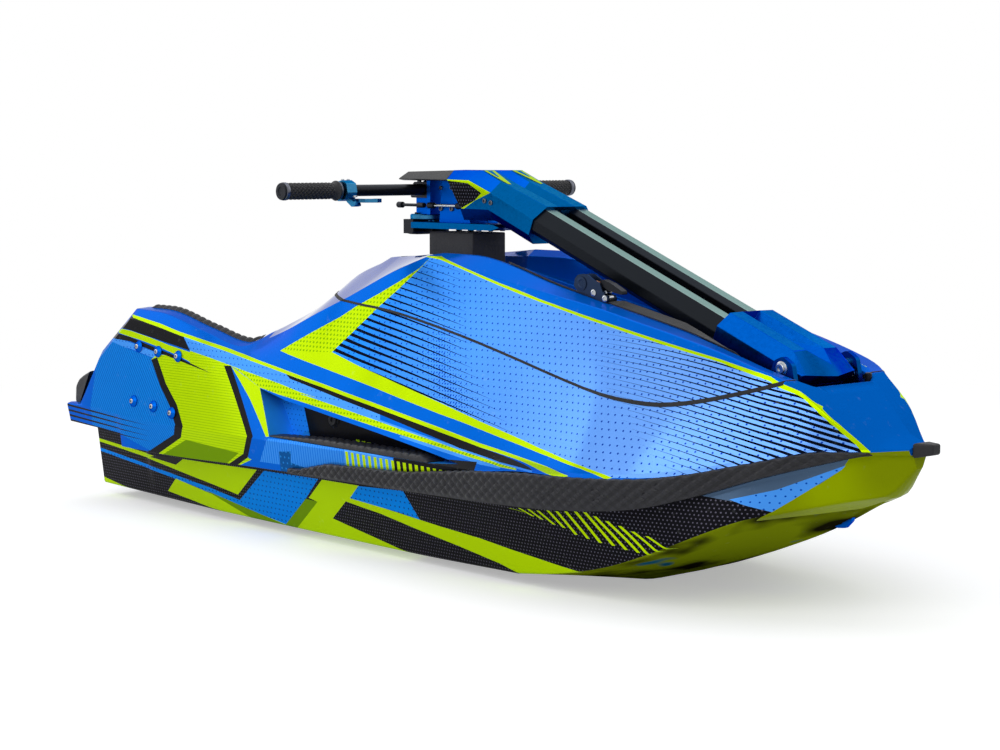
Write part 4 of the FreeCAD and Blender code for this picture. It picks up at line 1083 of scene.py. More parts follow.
def arch(n=24):
    """Section of the pump tunnel from one lower edge over the top to the other: y, z."""
    arc = [(-TUNNEL_R * math.cos(math.pi * k / n), TUNNEL_Z + TUNNEL_R * math.sin(math.pi * k / n))
           for k in range(n + 1)]
    return [(-TUNNEL_R, 8)] + arc + [(TUNNEL_R, 8)]


def transom():
    bm = bmesh.new()
    pad, kz, cy, cz, sy = HULL[0][1:]
    low = kz + (cz - kz) * (TUNNEL_R - pad) / (cy - pad)
    half = rounded([(TUNNEL_R, low), (cy, cz), (sy, 170), (332, 170)] + deck_columns(0)[1:],
                   (0, 7, 0, 0) + DECK_RADII[1:], ARC)
    ring = half + [(-y, z) for y, z in reversed(half)] + [(y, z) for y, z in arch()[1:-1]]
    turned(bm.faces.new([bm.verts.new(place(0, y, z)) for y, z in ring]), 0, -1)
    bmesh.ops.triangulate(bm, faces=bm.faces)
    for z in (168, 200):
        bmesh.ops.bisect_plane(bm, geom=[*bm.verts, *bm.edges, *bm.faces], plane_co=place(0, 0, z),
                               plane_no=(0, 0, 1), dist=1e-6)
    for f in bm.faces:
        z = f.calc_center_median().z
        f.material_index = MAT_NAMES.index("carbon" if z < 0.168 else "blue")
    return bm


as_piece("transom", transom(), MAT_NAMES, [])


def quads(bm, rows, closed=False):
    """Faces between rows of points."""
    made = [[bm.verts.new(p) for p in r] for r in rows]
    n = len(made[0])
    out = []
    for r, s in zip(made, made[1:]):
        for j in range(n if closed else n - 1):
            k = (j + 1) % n
            out.append(bm.faces.new((r[j], r[k], s[k], s[j])))
    return out


def water_way():
    """Inner walls of the pump tunnel and of the duct that feeds it."""
    bm = bmesh.new()
    xs = (0, 110, 230, 340, TUNNEL_END)
    quads(bm, [[place(x, y, z) for y, z in arch()] for x in xs])
    end = [place(TUNNEL_END, y, z) for y, z in arch()]
    hole = []
    for y, z in arch():
        dy, dz = y, z - TUNNEL_Z
        reach = 70 / max(70, math.hypot(dy, dz))
        hole.append(place(TUNNEL_END, dy * reach, TUNNEL_Z + dz * reach))
    quads(bm, [end, hole])
    duct = [(TUNNEL_END, 158), (470, 158), (520, 132), (630, 78), (720, 33), (785, 0)]
    quads(bm, [[place(x, y, z) for y in (-62, -31, 0, 31, 62)] for x, z in duct])
    for s in (-62, 62):
        top = [place(x, s, z) for x, z in duct]
        foot = [place(x, s, max(0.2, z)) for x, z in ((TUNNEL_END, 22), (458, 0), (520, 0), (630, 0),
                                                      (720, 0), (785, 0))]
        quads(bm, [top, foot])
    quads(bm, [[place(TUNNEL_END, y, 22) for y in (-62, 62)], [place(458, y, 0) for y in (-62, 62)]])
    bmesh.ops.remove_doubles(bm, verts=bm.verts, dist=1e-5)
    for f in bm.faces:
        f.material_index = MAT_NAMES.index("inner")
    return bm


tunnel = as_piece("pump_tunnel", water_way(), MAT_NAMES, [])
tunnel.data.set_sharp_from_angle(angle=math.radians(35))
# ---------------------------------------------------------------- helpers for the fittings
# the pole: its lean, its pivot, and how far the tubes' top line lies from the pivot's own line
LEAN = math.radians(21.44)
PIVOT_X, PIVOT_Z, TOP_OFFSET = 1805, 400, 9
# the stem's axis and the bar's
STEM_X, BAR_X, BAR_Z = 815, 832, 676
UP = Vector((math.sin(LEAN), 0, math.cos(LEAN)))


def on_pole(u, w):
    """Side-view point u back from the pivot and w above the tubes' top line."""
    c, s = math.cos(LEAN), math.sin(LEAN)
    v = w + TOP_OFFSET
    return PIVOT_X - u * c + v * s, PIVOT_Z + u * s + v * c


def from_node(node):
    """Copy of a CAD node with its flat faces whole again."""
    bm = bmesh.new()
    bm.from_mesh(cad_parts[node].data)
    bmesh.ops.remove_doubles(bm, verts=bm.verts, dist=1e-5)
    bmesh.ops.dissolve_limit(bm, angle_limit=math.radians(1), verts=bm.verts, edges=bm.edges)
    bm.normal_update()
    return bm


def chamfer(bm, width, test, segments=1):
    edges = [e for e in bm.edges if len(e.link_faces) == 2 and test(e, *e.link_faces)]
    bmesh.ops.bevel(bm, geom=edges, offset=width / 1000, segments=segments, profile=0.5,
                    affect="EDGES", clamp_overlap=True)
    bm.normal_update()


def soften(bm, width, segments=2, angle=28):
    """Rounds every sharp edge."""
    least = math.radians(angle)
    chamfer(bm, width, lambda e, f, g: f.normal.angle(g.normal, 0) > least, segments)


def fitting(name, bm, mats, nodes=(), body="root", sharp=32):
    mats = [mats] if isinstance(mats, str) else mats
    ob = as_piece(name, bm, mats, list(nodes), body)
    ob.data.set_sharp_from_angle(angle=math.radians(sharp))
    even = ob.modifiers.new("even", "WEIGHTED_NORMAL")
    even.keep_sharp = True
    return ob


def welded(bm):
    bmesh.ops.remove_doubles(bm, verts=bm.verts, dist=2e-5)
    bmesh.ops.dissolve_degenerate(bm, edges=bm.edges, dist=2e-5)
    bmesh.ops.recalc_face_normals(bm, faces=bm.faces)
    return bm


def closed_ends(bm, rows):
    """Adds a face over the first and the last row of points."""
    for r in (rows[0], rows[-1]):
        bm.faces.new([bm.verts.new(p) for p in r])


def joined(bm, extra):
    """Adds another mesh to this one."""
    mesh = bpy.data.meshes.new("part")
    extra.to_mesh(mesh)
    bm.from_mesh(mesh)


def lathe(bm, at, axis, profile, n=28, index=0):
    """Turned part on a craft point: profile of (radius, distance along the axis) in mm."""
    axis = Vector(axis).normalized()
    u = Vector((0, 0, 1)) if abs(axis.z) < 0.9 else Vector((1, 0, 0))
    u = (u - axis * u.dot(axis)).normalized()
    v = axis.cross(u)
    rings = []
    for r, h in profile:
        ring = []
        for k in range(n):
            t = 2 * math.pi * k / n
            ring.append(place(*at) + (axis * h + (u * math.cos(t) + v * math.sin(t)) * r) / 1000)
        rings.append(ring)
    for f in quads(bm, rings, True):
        f.material_index = index


def prism(bm, outline, low, high, index=0, plan=False):
    """Plate: a side-view outline between two y, or a plan-view one between two z."""
    rings = []
    for h in (low, high):
        rings.append([bm.verts.new(place(a, b, h) if plan else place(a, h, b)) for a, b in outline])
    n = len(outline)
    faces = [bm.faces.new((rings[0][k], rings[0][(k + 1) % n], rings[1][(k + 1) % n], rings[1][k]))
             for k in range(n)]
    faces += [bm.faces.new(r) for r in rings]
    for f in faces:
        f.material_index = index


def soft_outline(points, radius, steps=3):
    """Closed outline with rounded corners."""
    out = []
    n = len(points)
    for k in range(n):
        three = [points[k - 1], points[k], points[(k + 1) % n]]
        out += rounded(three, (0, radius, 0), steps)[1:-1]
    return out


def screw(bm, at, axis, r, h, index=0):
    """Socket-head screw: head, rounded rim and hexagonal well."""
    lathe(bm, at, axis, [(r, 0), (r, h * 0.8), (r * 0.86, h), (r * 0.55, h), (r * 0.5, h * 0.45),
                         (0, h * 0.4)], 24, index)


def facet(f):
    """Which way a face of the pole looks."""
    w = f.normal.dot(UP)
    if abs(f.normal.y) > 0.9:
        return "side"
    return "top" if w > 0.9 else "edge" if w > 0.4 else "low" if w < -0.4 else "end"


def scales(u, v, p, q):
    """Height 0..1 of a diamond tread at u along and v across."""
    a, b = (u / p + v / q) % 1, (u / p - v / q) % 1
    h = min(a, 1 - a, b, 1 - b)
    t = max(0.0, min(1.0, (h - 0.05) / 0.17))
    return t * t * (3 - 2 * t)


# ---------------------------------------------------------------- pole
# half section of a tube: y from the middle, w above the top line
TUBE = [(28, 0), (50, 0), (71.5, -21.5), (71.5, -39), (61, -49.5), (18, -49.5), (15, -44), (15, -7)]
for side, s in (("left", 1), ("right", -1)):
    bm = bmesh.new()
    rings = [[place(on_pole(u, w)[0], s * y, on_pole(u, w)[1]) for y, w in TUBE] for u in (150, 655)]
    quads(bm, rings, True)
    closed_ends(bm, rings)
    welded(bm)
    soften(bm, 1.4, 3)
    for f in bm.faces:
        # the outer top flats take a lighter copy of the finish and the downward facets a bluer one: painted
        # reflection
        pale = facet(f) == "top" and abs(f.calc_center_median().y) > 0.028
        f.material_index = 1 if pale else 2 if facet(f) == "low" else 0
    fitting("tube_" + side, bm, ["tube_black", "tube_top_reflection", "tube_low_reflection"],
            ["pole_tube_" + side], "pole")

def bracket(bm, stations, index):
    """Closed body of mirrored half sections, each a list of craft points from the top centre
    to the bottom centre. index(station, side of the section) gives a face's material."""
    rings = []
    for half in stations:
        far = [(x, -y, z) for x, y, z in half[-2:0:-1]]
        rings.append([bm.verts.new(place(*q)) for q in half + far])
    n, m = len(rings[0]), len(stations[0])
    for i, (r, s) in enumerate(zip(rings, rings[1:])):
        for j in range(n):
            f = bm.faces.new((r[j], r[(j + 1) % n], s[(j + 1) % n], s[j]))
            f.material_index = index(i, min(j, n - 1 - j))
    for i, r in ((-1, rings[0]), (len(rings), rings[-1])):
        for k in range(m - 1):
            corners = []
            for v in (r[k], r[k + 1], r[(n - k - 1) % n], r[(n - k) % n]):
                if v not in corners:
                    corners.append(v)
            f = bm.faces.new(corners)
            f.material_index = index(i, 0)
    bmesh.ops.recalc_face_normals(bm, faces=bm.faces)
    bmesh.ops.connect_verts_nonplanar(bm, angle_limit=math.radians(2.5), faces=bm.faces)
    bmesh.ops.dissolve_limit(bm, angle_limit=math.radians(2.0), verts=bm.verts, edges=bm.edges,
                             delimit={"MATERIAL"})
    bm.normal_update()


ELBOW = ["anodised", "pale_anodised_and_top_reflection", "anodised_dark_and_shade", "anodised_bright", "carbon", "lime", "bolt_grey",
         "anodised_mid"]
# the runs of a bracket's half section, from the top centre to the bottom centre
VALLEY, INNER, OUTER, HIGH, LOW, CORNER = range(6)
CHEEKS = [
    [(951, 0, 706), (951, 20, 714.5), (951, 50, 714.5), (954.6, 72, 697.2), (993, 72, 643.6), (991, 60, 621),
     (991, 0, 621)],
    [(1034, 0, 699), (1034, 20, 714.5), (1034, 50, 714.5), (1018, 72, 696), (1072.7, 72, 642.6),
     (1077, 60, 621.5), (1077, 0, 621.5)],
    [(1089, 0, 674), (1086.5, 20, 693.4), (1086.5, 50, 693.4), (1080.4, 72.6, 673.5), (1090, 72.6, 636),
     (1092, 60, 617), (1092, 0, 617)],
    [(1204, 0, 628), (1209, 20, 649.2), (1210.8, 50, 649.2), (1199.5, 74.4, 626.7), (1187.7, 74.4, 598.1),
     (1186, 62, 581), (1186, 0, 581)],
]


# one anodised finish in lit and shaded copies by facet: lighter top flats as painted reflection, darker lower
# chamfers, bottom and rear end as painted shade; the bright blue of the rear chamfers is paint
def elbow_finish(station, strip):
    if station in (-1, 3, 4):
        return 2 if station == -1 else 0
    if strip == OUTER or strip == VALLEY:
        return 3 if station < 2 else 7
    return {INNER: 1 if station else 3, HIGH: 0, LOW: 2, CORNER: 2}[strip]


bm = bmesh.new()
bracket(bm, CHEEKS, elbow_finish)
soften(bm, 1.1)
k = bm.faces.layers.int.new("strip")
SIDE_ART = [(5, [(950, 699), (1018, 697), (1081, 673.6), (1036, 658), (1000, 640)]),
            (4, [(950, 695.5), (1016, 690.3), (1055, 672.5), (1035, 658), (993, 642), (980, 655)])]
for mark, outline in SIDE_ART:
    for f in stencil(bm, outline, {0}, k,
                     lambda f: abs(f.normal.y) > 0.93 and f.calc_center_median().z > 0.6):
        f.material_index = mark
for s in (-1, 1):
    for x, z in ((1064.6, 658), (1082.5, 654.8)):
        screw(bm, (x, s * 72.2, z), (0, s, 0), 4.6, 2.6, 6)
    for wedge, index, lift in (([(1036, 48), (1098, 44), (1100, 37), (1036, 23)], 5, 0.5),
                               ([(1038, 42), (1084, 41.5), (1038, 30)], 1, 0.8)):
        corners = [bm.verts.new(place(x, s * y, 714.5 - (x - 1034) * 0.402 + lift)) for x, y in wedge
                   if x < 1086.5] + [bm.verts.new(place(x, s * y, 693.4 - (x - 1086.5) * 0.3556 + lift))
                                     for x, y in wedge if x >= 1086.5]
        if len([1 for x, y in wedge if x < 1086.5]) == 2:
            corners = [corners[0], corners[2], corners[3], corners[1]]
        turned(bm.faces.new(corners), 2, 1).material_index = index
fitting("head_elbow", bm, ELBOW, ["pole_head_bracket"], "pole")


def station(*points):
    return [(on_pole(u, w)[0], y, on_pole(u, w)[1]) for y, u, w in points]


PRONGS = [
    station((0, 161, -22), (22, 162, 14.5), (54, 162, 14.5), (74.4, 164.5, -8.8), (74.4, 163.5, -43),
            (62, 163, -57), (0, 161, -57)),
    station((0, -27, 7), (22, 13, 14.5), (54, 12, 14.5), (74.4, -3, -8.8), (74.4, -3, -40), (62, -3, -54),
            (0, -3, -54)),
    station((0, -48, -6), (22, -41, -7.5), (60, -30, -9), (67, -29, -9.5), (68, -24, -28), (60, -20, -34),
            (0, -40, -27)),
]


# one anodised finish in lit and shaded copies by facet: lighter top flats as painted reflection; darker
# sides, lower chamfers, bottom, front face and front end as painted shade
def prong_finish(station, strip):
    if station == 3:
        return 2
    if station == 1:
        return {VALLEY: 3, INNER: 3, OUTER: 0, HIGH: 0, LOW: 2, CORNER: 2}[strip]
    return {VALLEY: 0, INNER: 1, OUTER: 0, HIGH: 2, LOW: 2, CORNER: 2}.get(strip, 0)


bm = bmesh.new()
bracket(bm, PRONGS, prong_finish)
soften(bm, 1.1)
for s in (-1, 1):
    screw(bm, (1822, s * 71.5, 383), (0, s, 0), 4.4, 3, 4)
fitting("base_knuckle", bm, ["base_blue", "knuckle_top_reflection", "anodised_dark_and_shade", "teal_anodised_and_front_shade", "steel"],
        ["pole_base_bracket"], "pole")

bm = bmesh.new()
EAR = [(1776, 350), (1836, 350), (1831, 384), (1826, 408), (1806, 420), (1788, 412), (1779, 386)]
for s in (-1, 1):
    prism(bm, soft_outline(EAR, 11, 5), s * 76, s * 86)
prism(bm, [(1777, 345.3), (1858, 345.3), (1858, 349.5), (1777, 349.5)], -86, 86)
soften(bm, 1.6, 3)
lathe(bm, (1849, 79, 364), (0.05, 0, 1), [(0, 0), (5, 0), (6, 1.5), (6, 20), (4.5, 22), (0, 22.5)], 24, 1)
prism(bm, [(1858.5, 344), (1858.5, 370), (1861, 373), (1864, 371), (1866, 344)], -78, 78, 2)
fitting("hinge_mount", bm, ["teal_anodised_and_front_shade", "satin_black", "blue"], ["pole_mount"])
bm = bmesh.new()
for s in (-1, 1):
    lathe(bm, (PIVOT_X, s * 86.2, PIVOT_Z), (0, s, 0), [(12, 0), (12, 1.5), (10, 2.2), (8.4, 2.4), (8.4, 5.4),
                                                        (7.6, 6), (4.6, 6), (4.2, 3.4), (0, 3.2)], 36)
    screw(bm, (1787, s * 86.2, 366), (0, s, 0), 4.4, 3)
fitting("hinge_bolts", welded(bm), "steel")

# ---------------------------------------------------------------- head of the pole
bm = bmesh.new()
prism(bm, [(826, 602), (826, 613.5), (1064, 613.5), (1084, 608), (1060, 602)], -54, 54)
soften(bm, 1.2)
bmesh.ops.recalc_face_normals(bm, faces=bm.faces)
for x, y0, y1 in ((786, -40, 40), (806, -46, 46)):
    block = bmesh.new()
    prism(block, [(x, 590), (x, 618), (x + 17, 618), (x + 17, 594), (x + 12, 590)], y0, y1, 1)
    soften(block, 2)
    joined(bm, block)
fitting("steer_plate", bm, ["anodised", "satin_black"], ["head_plate"], "pole")
bm = bmesh.new()
prism(bm, [(884, 699), (936, 699), (966, 612), (874, 612)], -22, 22, 0)
prism(bm, [(862, 612), (966, 612), (962, 624), (866, 624)], 24, 50, 0)
soften(bm, 1.2)
for y in (-30, 0, 30):
    screw(bm, (800, y, 602), (0, 0, -1), 5, 4, 1)
    screw(bm, (1000, y, 602), (0, 0, -1), 5, 4, 1)
for x in (880, 912):
    screw(bm, (x, -22, 640), (0, -1, 0), 5, 3, 1)
    screw(bm, (x, -22, 680), (0, -1, 0), 4, 3, 1)
fitting("head_web", welded(bm), ["anodised_bright", "bolt_grey"], body="pole")
bm = bmesh.new()
prism(bm, soft_outline([(776, 601.8), (812, 601.8), (812, 588), (784, 588), (776, 594)], 2.5), -24, 24)
prism(bm, soft_outline([(818, 601.8), (850, 601.8), (846, 593), (822, 593)], 2.5), -18, 18)
soften(bm, 1)
lathe(bm, (STEM_X, 0, 602), (0, 0, -1), [(16, 0), (16, 4), (14, 6), (8, 6), (7, 3), (0, 3)], 32)
fitting("steer_bearing", welded(bm), "satin_black", body="pole")

bm = bmesh.new()
COVER = [
    [(806, 0, 711), (806, 20, 711), (806, 44, 711), (799, 62, 698), (799, 62, 696), (799, 50, 694),
     (799, 0, 694)],
    [(950.6, 0, 714.2), (950.6, 20, 714.2), (950.6, 50, 714.2), (954, 71.6, 697.6),
     (954, 71.6, 695.6), (954, 60, 694), (954, 0, 694)],
]
bracket(bm, COVER, lambda station, strip: 0)
soften(bm, 0.9)
fitting("top_cover", bm, "cover_black", ["head_cover"], "pole")

bm = bmesh.new()
lathe(bm, (863, -40, 646), (1, 0, 0), [(0, 0), (5.4, 0), (6, 1), (6, 17), (4.6, 18), (3, 18), (3, 84),
                                       (4.6, 84), (6, 85), (6, 101), (0, 101.5)], 24)
for f in bm.faces:
    x = middle_x(f)
    f.material_index = 0 if 882 < x < 946 else 1
fitting("steer_link", welded(bm), ["steel", "satin_black"], ["steering_rod"], "pole")

bm = from_node("pole_rest_block")
soften(bm, 2.5, 3)
fitting("rest_block", bm, "foam_black", ["pole_rest_block"])
bm = bmesh.new()
for x in (907, 942):
    lathe(bm, (x, 0, 601.7), (0, 0, -1), [(6, 0), (6, 3.6), (4.4, 5.4), (0, 5.5)], 24)
fitting("rest_studs", welded(bm), "rubber_black", ["pole_stops"], "pole")

# ---------------------------------------------------------------- bar, grips and levers
bm = bmesh.new()
lathe(bm, (STEM_X, 0, 603), (0, 0, 1), [(0, 0), (11, 0), (11, 14), (34, 14), (36, 16), (36, 23), (34, 25),
                                        (18, 25), (16, 30), (11, 32), (11, 88), (9, 90), (0, 90)], 48, 0)
for k in range(6):
    t = math.radians(60 * k + 20)
    screw(bm, (STEM_X + 27 * math.cos(t), 27 * math.sin(t), 628), (0, 0, 1), 4, 3, 1)
welded(bm)
body = bmesh.new()
CLAMP = [(795, 660), (852, 660), (852, 684), (843, 691), (806, 691), (795, 680)]
prism(body, soft_outline(CLAMP, 5), -29, 29, 1)
prism(body, [(846, 628), (856, 628), (856, 696), (846, 696)], -30, 30, 2)
prism(body, [(804, 628), (846, 628), (846, 662), (804, 662)], -22, 22, 2)
soften(body, 1.2)
lathe(body, (770, -40, 646), (1, 0, 0), [(0, 0), (5.4, 0), (6, 1), (6, 14), (3, 15), (3, 60), (5, 61),
                                         (5, 80), (0, 81)], 24, 1)
joined(bm, body)
for y in (-20, 20):
    for x in (811, 842):
        screw(bm, (x, y, 690), (0, 0, 1), 4.4, 3.5, 3)
fitting("bar_stem", bm, ["pale_anodised_and_top_reflection", "satin_black", "anodised_bright", "bolt_grey"],
        ["steering_stem"], "handlebar")


def grip_skin(s):
    """Grip with a diamond knurl between its two lock rings."""
    bm = bmesh.new()
    turns, length = 72, 104
    rings = []
    steps = 84
    for i in range(steps + 1):
        y = 358 - length * i / steps
        ring = []
        for k in range(turns):
            t = 2 * math.pi * k / turns
            edge = min(1, i / 3, (steps - i) / 3)
            r = 14.3 + 1.5 * scales(k * 3.0, y, 18, 9) * edge
            ring.append(place(BAR_X + r * math.cos(t), s * y, BAR_Z + r * math.sin(t)))
        rings.append(ring)
    quads(bm, rings, True)
    end = [(0, 368.4), (8, 368.6), (9, 370), (15, 370), (16, 368.5), (16, 366)]
    lock = [(16.2, 366), (16.8, 365), (16.8, 359.5), (15.9, 358), (14.3, 358)]
    flange = [(14.3, 254), (15.2, 253), (15.6, 247), (19, 243), (19, 241), (17, 240)]
    ring = [(16.6, 240), (17.4, 239.4), (17.4, 236), (16.4, 235.4), (11.4, 235.4)]
    for index, profile in ((1, end), (2, lock), (0, flange), (2, ring)):
        lathe(bm, (BAR_X, 0, BAR_Z), (0, s, 0), profile, 48, index)
    return welded(bm)


for side, s in (("right", -1), ("left", 1)):
    fitting("grip_skin_" + side, grip_skin(s), ["grip", "satin_black", "bolt_grey"],
            ["grip_" + side], "handlebar", 40)


def lever_set(s, name, node):
    bm = bmesh.new()
    y0, y1 = sorted((s * 209, s * 232))
    prism(bm, soft_outline([(816, 661), (826, 656), (848, 660), (856, 672), (852, 690), (838, 696),
                            (820, 692), (814, 680)], 3), y0, y1, 0)
    a, b = sorted((s * 213, s * 228))
    prism(bm, soft_outline([(848, 664), (868, 656), (874, 648), (862, 646), (846, 656)], 3), a, b, 0)
    soften(bm, 1.4)
    blade = bmesh.new()
    shape = [(850, 213), (872, 219), (890, 216), (902, 196), (888, 176), (874, 168), (868, 176), (880, 194),
             (872, 204), (850, 202)]
    prism(blade, soft_outline([(x, s * y) for x, y in shape], 4), 654, 661, 0, True)
    soften(blade, 1.8, 3)
    joined(bm, blade)
    for v in (214, 227):
        screw(bm, (834, s * v, 695), (0, 0, 1), 3, 3, 2)
    screw(bm, (864, s * 221, 664), (0, 0, 1), 4.5, 3, 2)
    fitting(name, bm, ["pale_anodised_and_top_reflection", "anodised_dark_and_shade", "steel"], [node], "handlebar")


lever_set(-1, "throttle_set", "throttle_lever")
lever_set(1, "trim_set", "trim_lever")

# ---------------------------------------------------------------- strap and ratchet buckle
bm = bmesh.new()
rows = []
for k in range(69):
    x = 1182 + 8 * k
    y0, z0 = (deck_at(8 + i, x) + (deck_at(10 + i, x) - deck_at(8 + i, x)) * 0.08 for i in (0, 1))
    y1, z1 = (deck_at(8 + i, x) + (deck_at(10 + i, x) - deck_at(8 + i, x)) * 0.9 for i in (0, 1))
    rise = 4 + 16 * max(0.0, min(1.0, (x - 1400) / 60, (1726 - x) / 120))
    ripple = 0.8 * math.sin(x / 17.0)
    under = [(y0, z0 + 1.2), ((y0 + y1) / 2, (z0 + z1) / 2 + 0.5 * rise + ripple), (y1, z1 + rise)]
    rows.append([place(x, -y, z) for y, z in under + [(y, z + 2.6) for y, z in under[::-1]]])
quads(bm, rows, True)
closed_ends(bm, rows)
welded(bm)
soften(bm, 0.8)
fitting("strap_webbing", bm, "webbing", ["hood_strap"])

PLATE = [(1356, 515), (1358, 528), (1366, 535), (1378, 537), (1390, 536), (1404, 528), (1420, 522),
         (1424, 515), (1430, 503), (1441, 501), (1443, 494), (1436, 489), (1422, 491), (1402, 498),
         (1384, 503), (1366, 506)]
bm = bmesh.new()
for y in (-121, -103):
    prism(bm, soft_outline(PLATE, 4), y, y + 3, 0)
prism(bm, [(1352, 504), (1440, 487), (1441, 490), (1353, 507)], -118, -103, 0)
prism(bm, soft_outline([(1416, 520), (1424, 529), (1444, 523), (1470, 511), (1472, 504), (1440, 509)], 4),
      -117, -104, 1)
soften(bm, 0.8)
for (x, z), r, index in (((1376, 520), 12, 0), ((1434, 496), 6, 2), ((1406, 505), 6, 2)):
    lathe(bm, (x, -123, z), (0, 1, 0), [(0, 1), (r * 0.5, 1), (r * 0.6, 0), (r, 0.6), (r, 22), (r * 0.6, 24),
                                        (0, 23)], 32, index)
gear = []
for k in range(28):
    r = 11.5 if k % 2 else 8.5
    t = 2 * math.pi * (k + 0.3 * (k % 2)) / 28
    gear.append((1402 + r * math.cos(t), 514 + r * math.sin(t)))
prism(bm, gear, -116.5, -104.5, 3)
prism(bm, soft_outline([(1412, 506), (1432, 510), (1436, 506), (1414, 500)], 2), -117, -104, 2)
fitting("buckle_set", welded(bm), ["buckle_dark", "satin_black", "steel", "copper"],
        ["ratchet_buckle"])

# ---------------------------------------------------------------- rails, pads and bumper
def outline_rows(rows):
    bm = bmesh.new()
    quads(bm, rows)
    return bm


def rail_skin(s):
    """Rubber rail with a diamond tread on its outer face and a scalloped top."""
    xs = [800 + 2.6 * k for k in range(452)]
    rows = []
    n = 20
    for x in xs:
        foot, crease = deck_at(1, x), deck_at(2, x)
        low, top = bond_at(x), deck_at(3, x)
        high = min(low + line_at(RAIL_HEIGHT, x), top)
        share = (high - low) / (top - low)
        mid = foot + share * (crease - foot)
        fade = min(1, (x - 798) / 20, (1976 - x) / 20)
        wave = 2.0 * abs(math.sin(math.pi * x / 21)) * fade
        pts = [(foot - 2, low + 0.4), (foot + 12, low + 0.4)]
        for k in range(n + 1):
            t = k / n
            z = low + 2 + (high - 5 + wave - low) * t
            y = foot + 12.2 + (mid - foot - 2.2) * t
            y += (2.9 * scales(x, z, 21, 17) - 0.8) * fade * min(1, t * 6, (1 - t) * 6 + 0.4)
            pts.append((y, z))
        pts += [(mid + 9, high - 1.5 + wave), (mid + 5, high + wave * 0.8), (mid - 2, high - 0.5)]
        rows.append([place(x, s * y, z) for y, z in pts])
    bm = outline_rows(rows)
    closed_ends(bm, rows)
    return welded(bm)


def ledge_skin(s):
    """Treaded strip on the ledge under the side recess."""
    rows = []
    for k in range(182):
        x = 700 + 2.8 * k
        z0 = 206.2
        fade = min(1, k / 70, (181 - k) / 8)
        outer = deck_at(2, x) - (206 - deck_at(3, x)) * 0.47 - 1.0
        wave = abs(math.sin(math.pi * x / 13)) * fade
        pts = [(292, z0)]
        for j in range(8):
            t = j / 7
            pts.append((296 + (outer - 299) * t, z0 + 1.2 + (8 + 2.2 * scales(x, 34 * t, 21, 17)) * fade))
        pts += [(outer + 0.4, z0 + 1 + 7.6 * fade + wave), (outer + 1.2, z0 + 0.8 + 2 * fade), (outer, z0)]
        rows.append([place(x, s * y, z) for y, z in pts])
    bm = outline_rows(rows)
    closed_ends(bm, rows)
    return welded(bm)


def gunwale_skin(s):
    """Soft pad with a row of low bumps along the top of the tray's side."""
    rows = []
    n = 8
    for k in range(149):
        x = 236 + 2.5 * k
        fade = min(1, k / 5, (148 - k) / 5)
        bump = (2.2 + 3.4 * abs(math.sin(math.pi * (x - 236) / 20)) ** 0.6) * fade + 0.4
        low = []
        for t in (0.62, 0.97):
            low.append((deck_at(6, x) + (deck_at(8, x) - deck_at(6, x)) * t,
                        deck_at(7, x) + (deck_at(9, x) - deck_at(7, x)) * t))
        (y0, z0), (y1, z1) = low
        pts = []
        for j in range(n + 1):
            t = j / n
            crown = (1 - abs(2 * t - 1) ** 3.5) ** 0.5
            pts.append((y0 + (y1 - y0) * t, z0 + (z1 - z0) * t + 0.4 + bump * crown))
        rows.append([place(x, s * y, z) for y, z in pts])
    bm = outline_rows(rows)
    quads(bm, [(r[0], r[-1]) for r in rows])
    closed_ends(bm, rows)
    return welded(bm)


def stern_skin(s):
    """Rounded pad on the sloping rear end of the gunwale."""
    prof = rounded([(62, 283), (39, 273), (18, 262), (5, 246), (2, 214), (12, 208)], (0, 30, 30, 18, 8, 0), 5)
    rows = []
    n = 18
    for j in range(n + 1):
        t = j / n
        e = (1 - abs(2 * t - 1) ** 6) ** 0.5
        y = 262 + 63 * t
        row = []
        for i, (x, z) in enumerate(prof):
            f = i / (len(prof) - 1)
            back = x + 22 * (1 - e) * (0.3 + 0.7 * f) * 0.6
            groove = 0.6 * (1 - abs(math.sin(10 * math.pi * f)) ** 0.5)
            row.append(place(back, s * y, z - 7 * (1 - e) * (1 - f) - groove))
        rows.append(row)
    bm = outline_rows(rows)
    closed_ends(bm, rows)
    foot = [place(40, s * (262 + 63 * j / n), 206) for j in range(n + 1)]
    quads(bm, [[r[-1] for r in rows], foot])
    return welded(bm)


for side, s in (("right", -1), ("left", 1)):
    fitting("rail_skin_" + side, rail_skin(s), "rail_rubber", ["bond_rail_" + side], sharp=60)
    fitting("ledge_skin_" + side, ledge_skin(s), "rail_rubber", sharp=60)
    pad = fitting("gunwale_cushion_" + side, gunwale_skin(s), "foam_black",
                  ["gunwale_pad_" + side], sharp=60)
    pad = fitting("stern_cushion_" + side, stern_skin(s), "foam_black", ["stern_pad_" + side],
                  sharp=60)


def mat_skin():
    """Tray mat: foam sheet with crossed grooves."""
    bm = bmesh.new()
    rows = []
    xs = [20 + 4 * k for k in range(187)]
    n = 124
    for x in xs:
        half = deck_at(12, x) - 6 - 2.4
        row = []
        for j in range(n + 1):
            y = -half + 2 * half * j / n
            rim = min(x - 20, 764 - x, half - abs(y))
            a, b = ((x + y) / 26) % 1, ((x - y) / 26) % 1
            groove = min(a, 1 - a, b, 1 - b)
            top = 7.9 - 2.2 * max(0, 1 - groove / 0.11) ** 0.5 if rim > 12 else 6.4 + min(1, rim / 5)
            row.append(place(x, y, 192.3 + (top if rim > 0.1 else 5.5)))
        rows.append(row)
    quads(bm, rows)
    edge = [rows[0], rows[-1], [r[0] for r in rows], [r[-1] for r in rows]]
    for line in edge:
        quads(bm, [line, [Vector((p.x, p.y, 0.1924)) for p in line]])
    return welded(bm)


mat = fitting("mat_skin", mat_skin(), "foam_mat", ["tray_mat"], sharp=60)

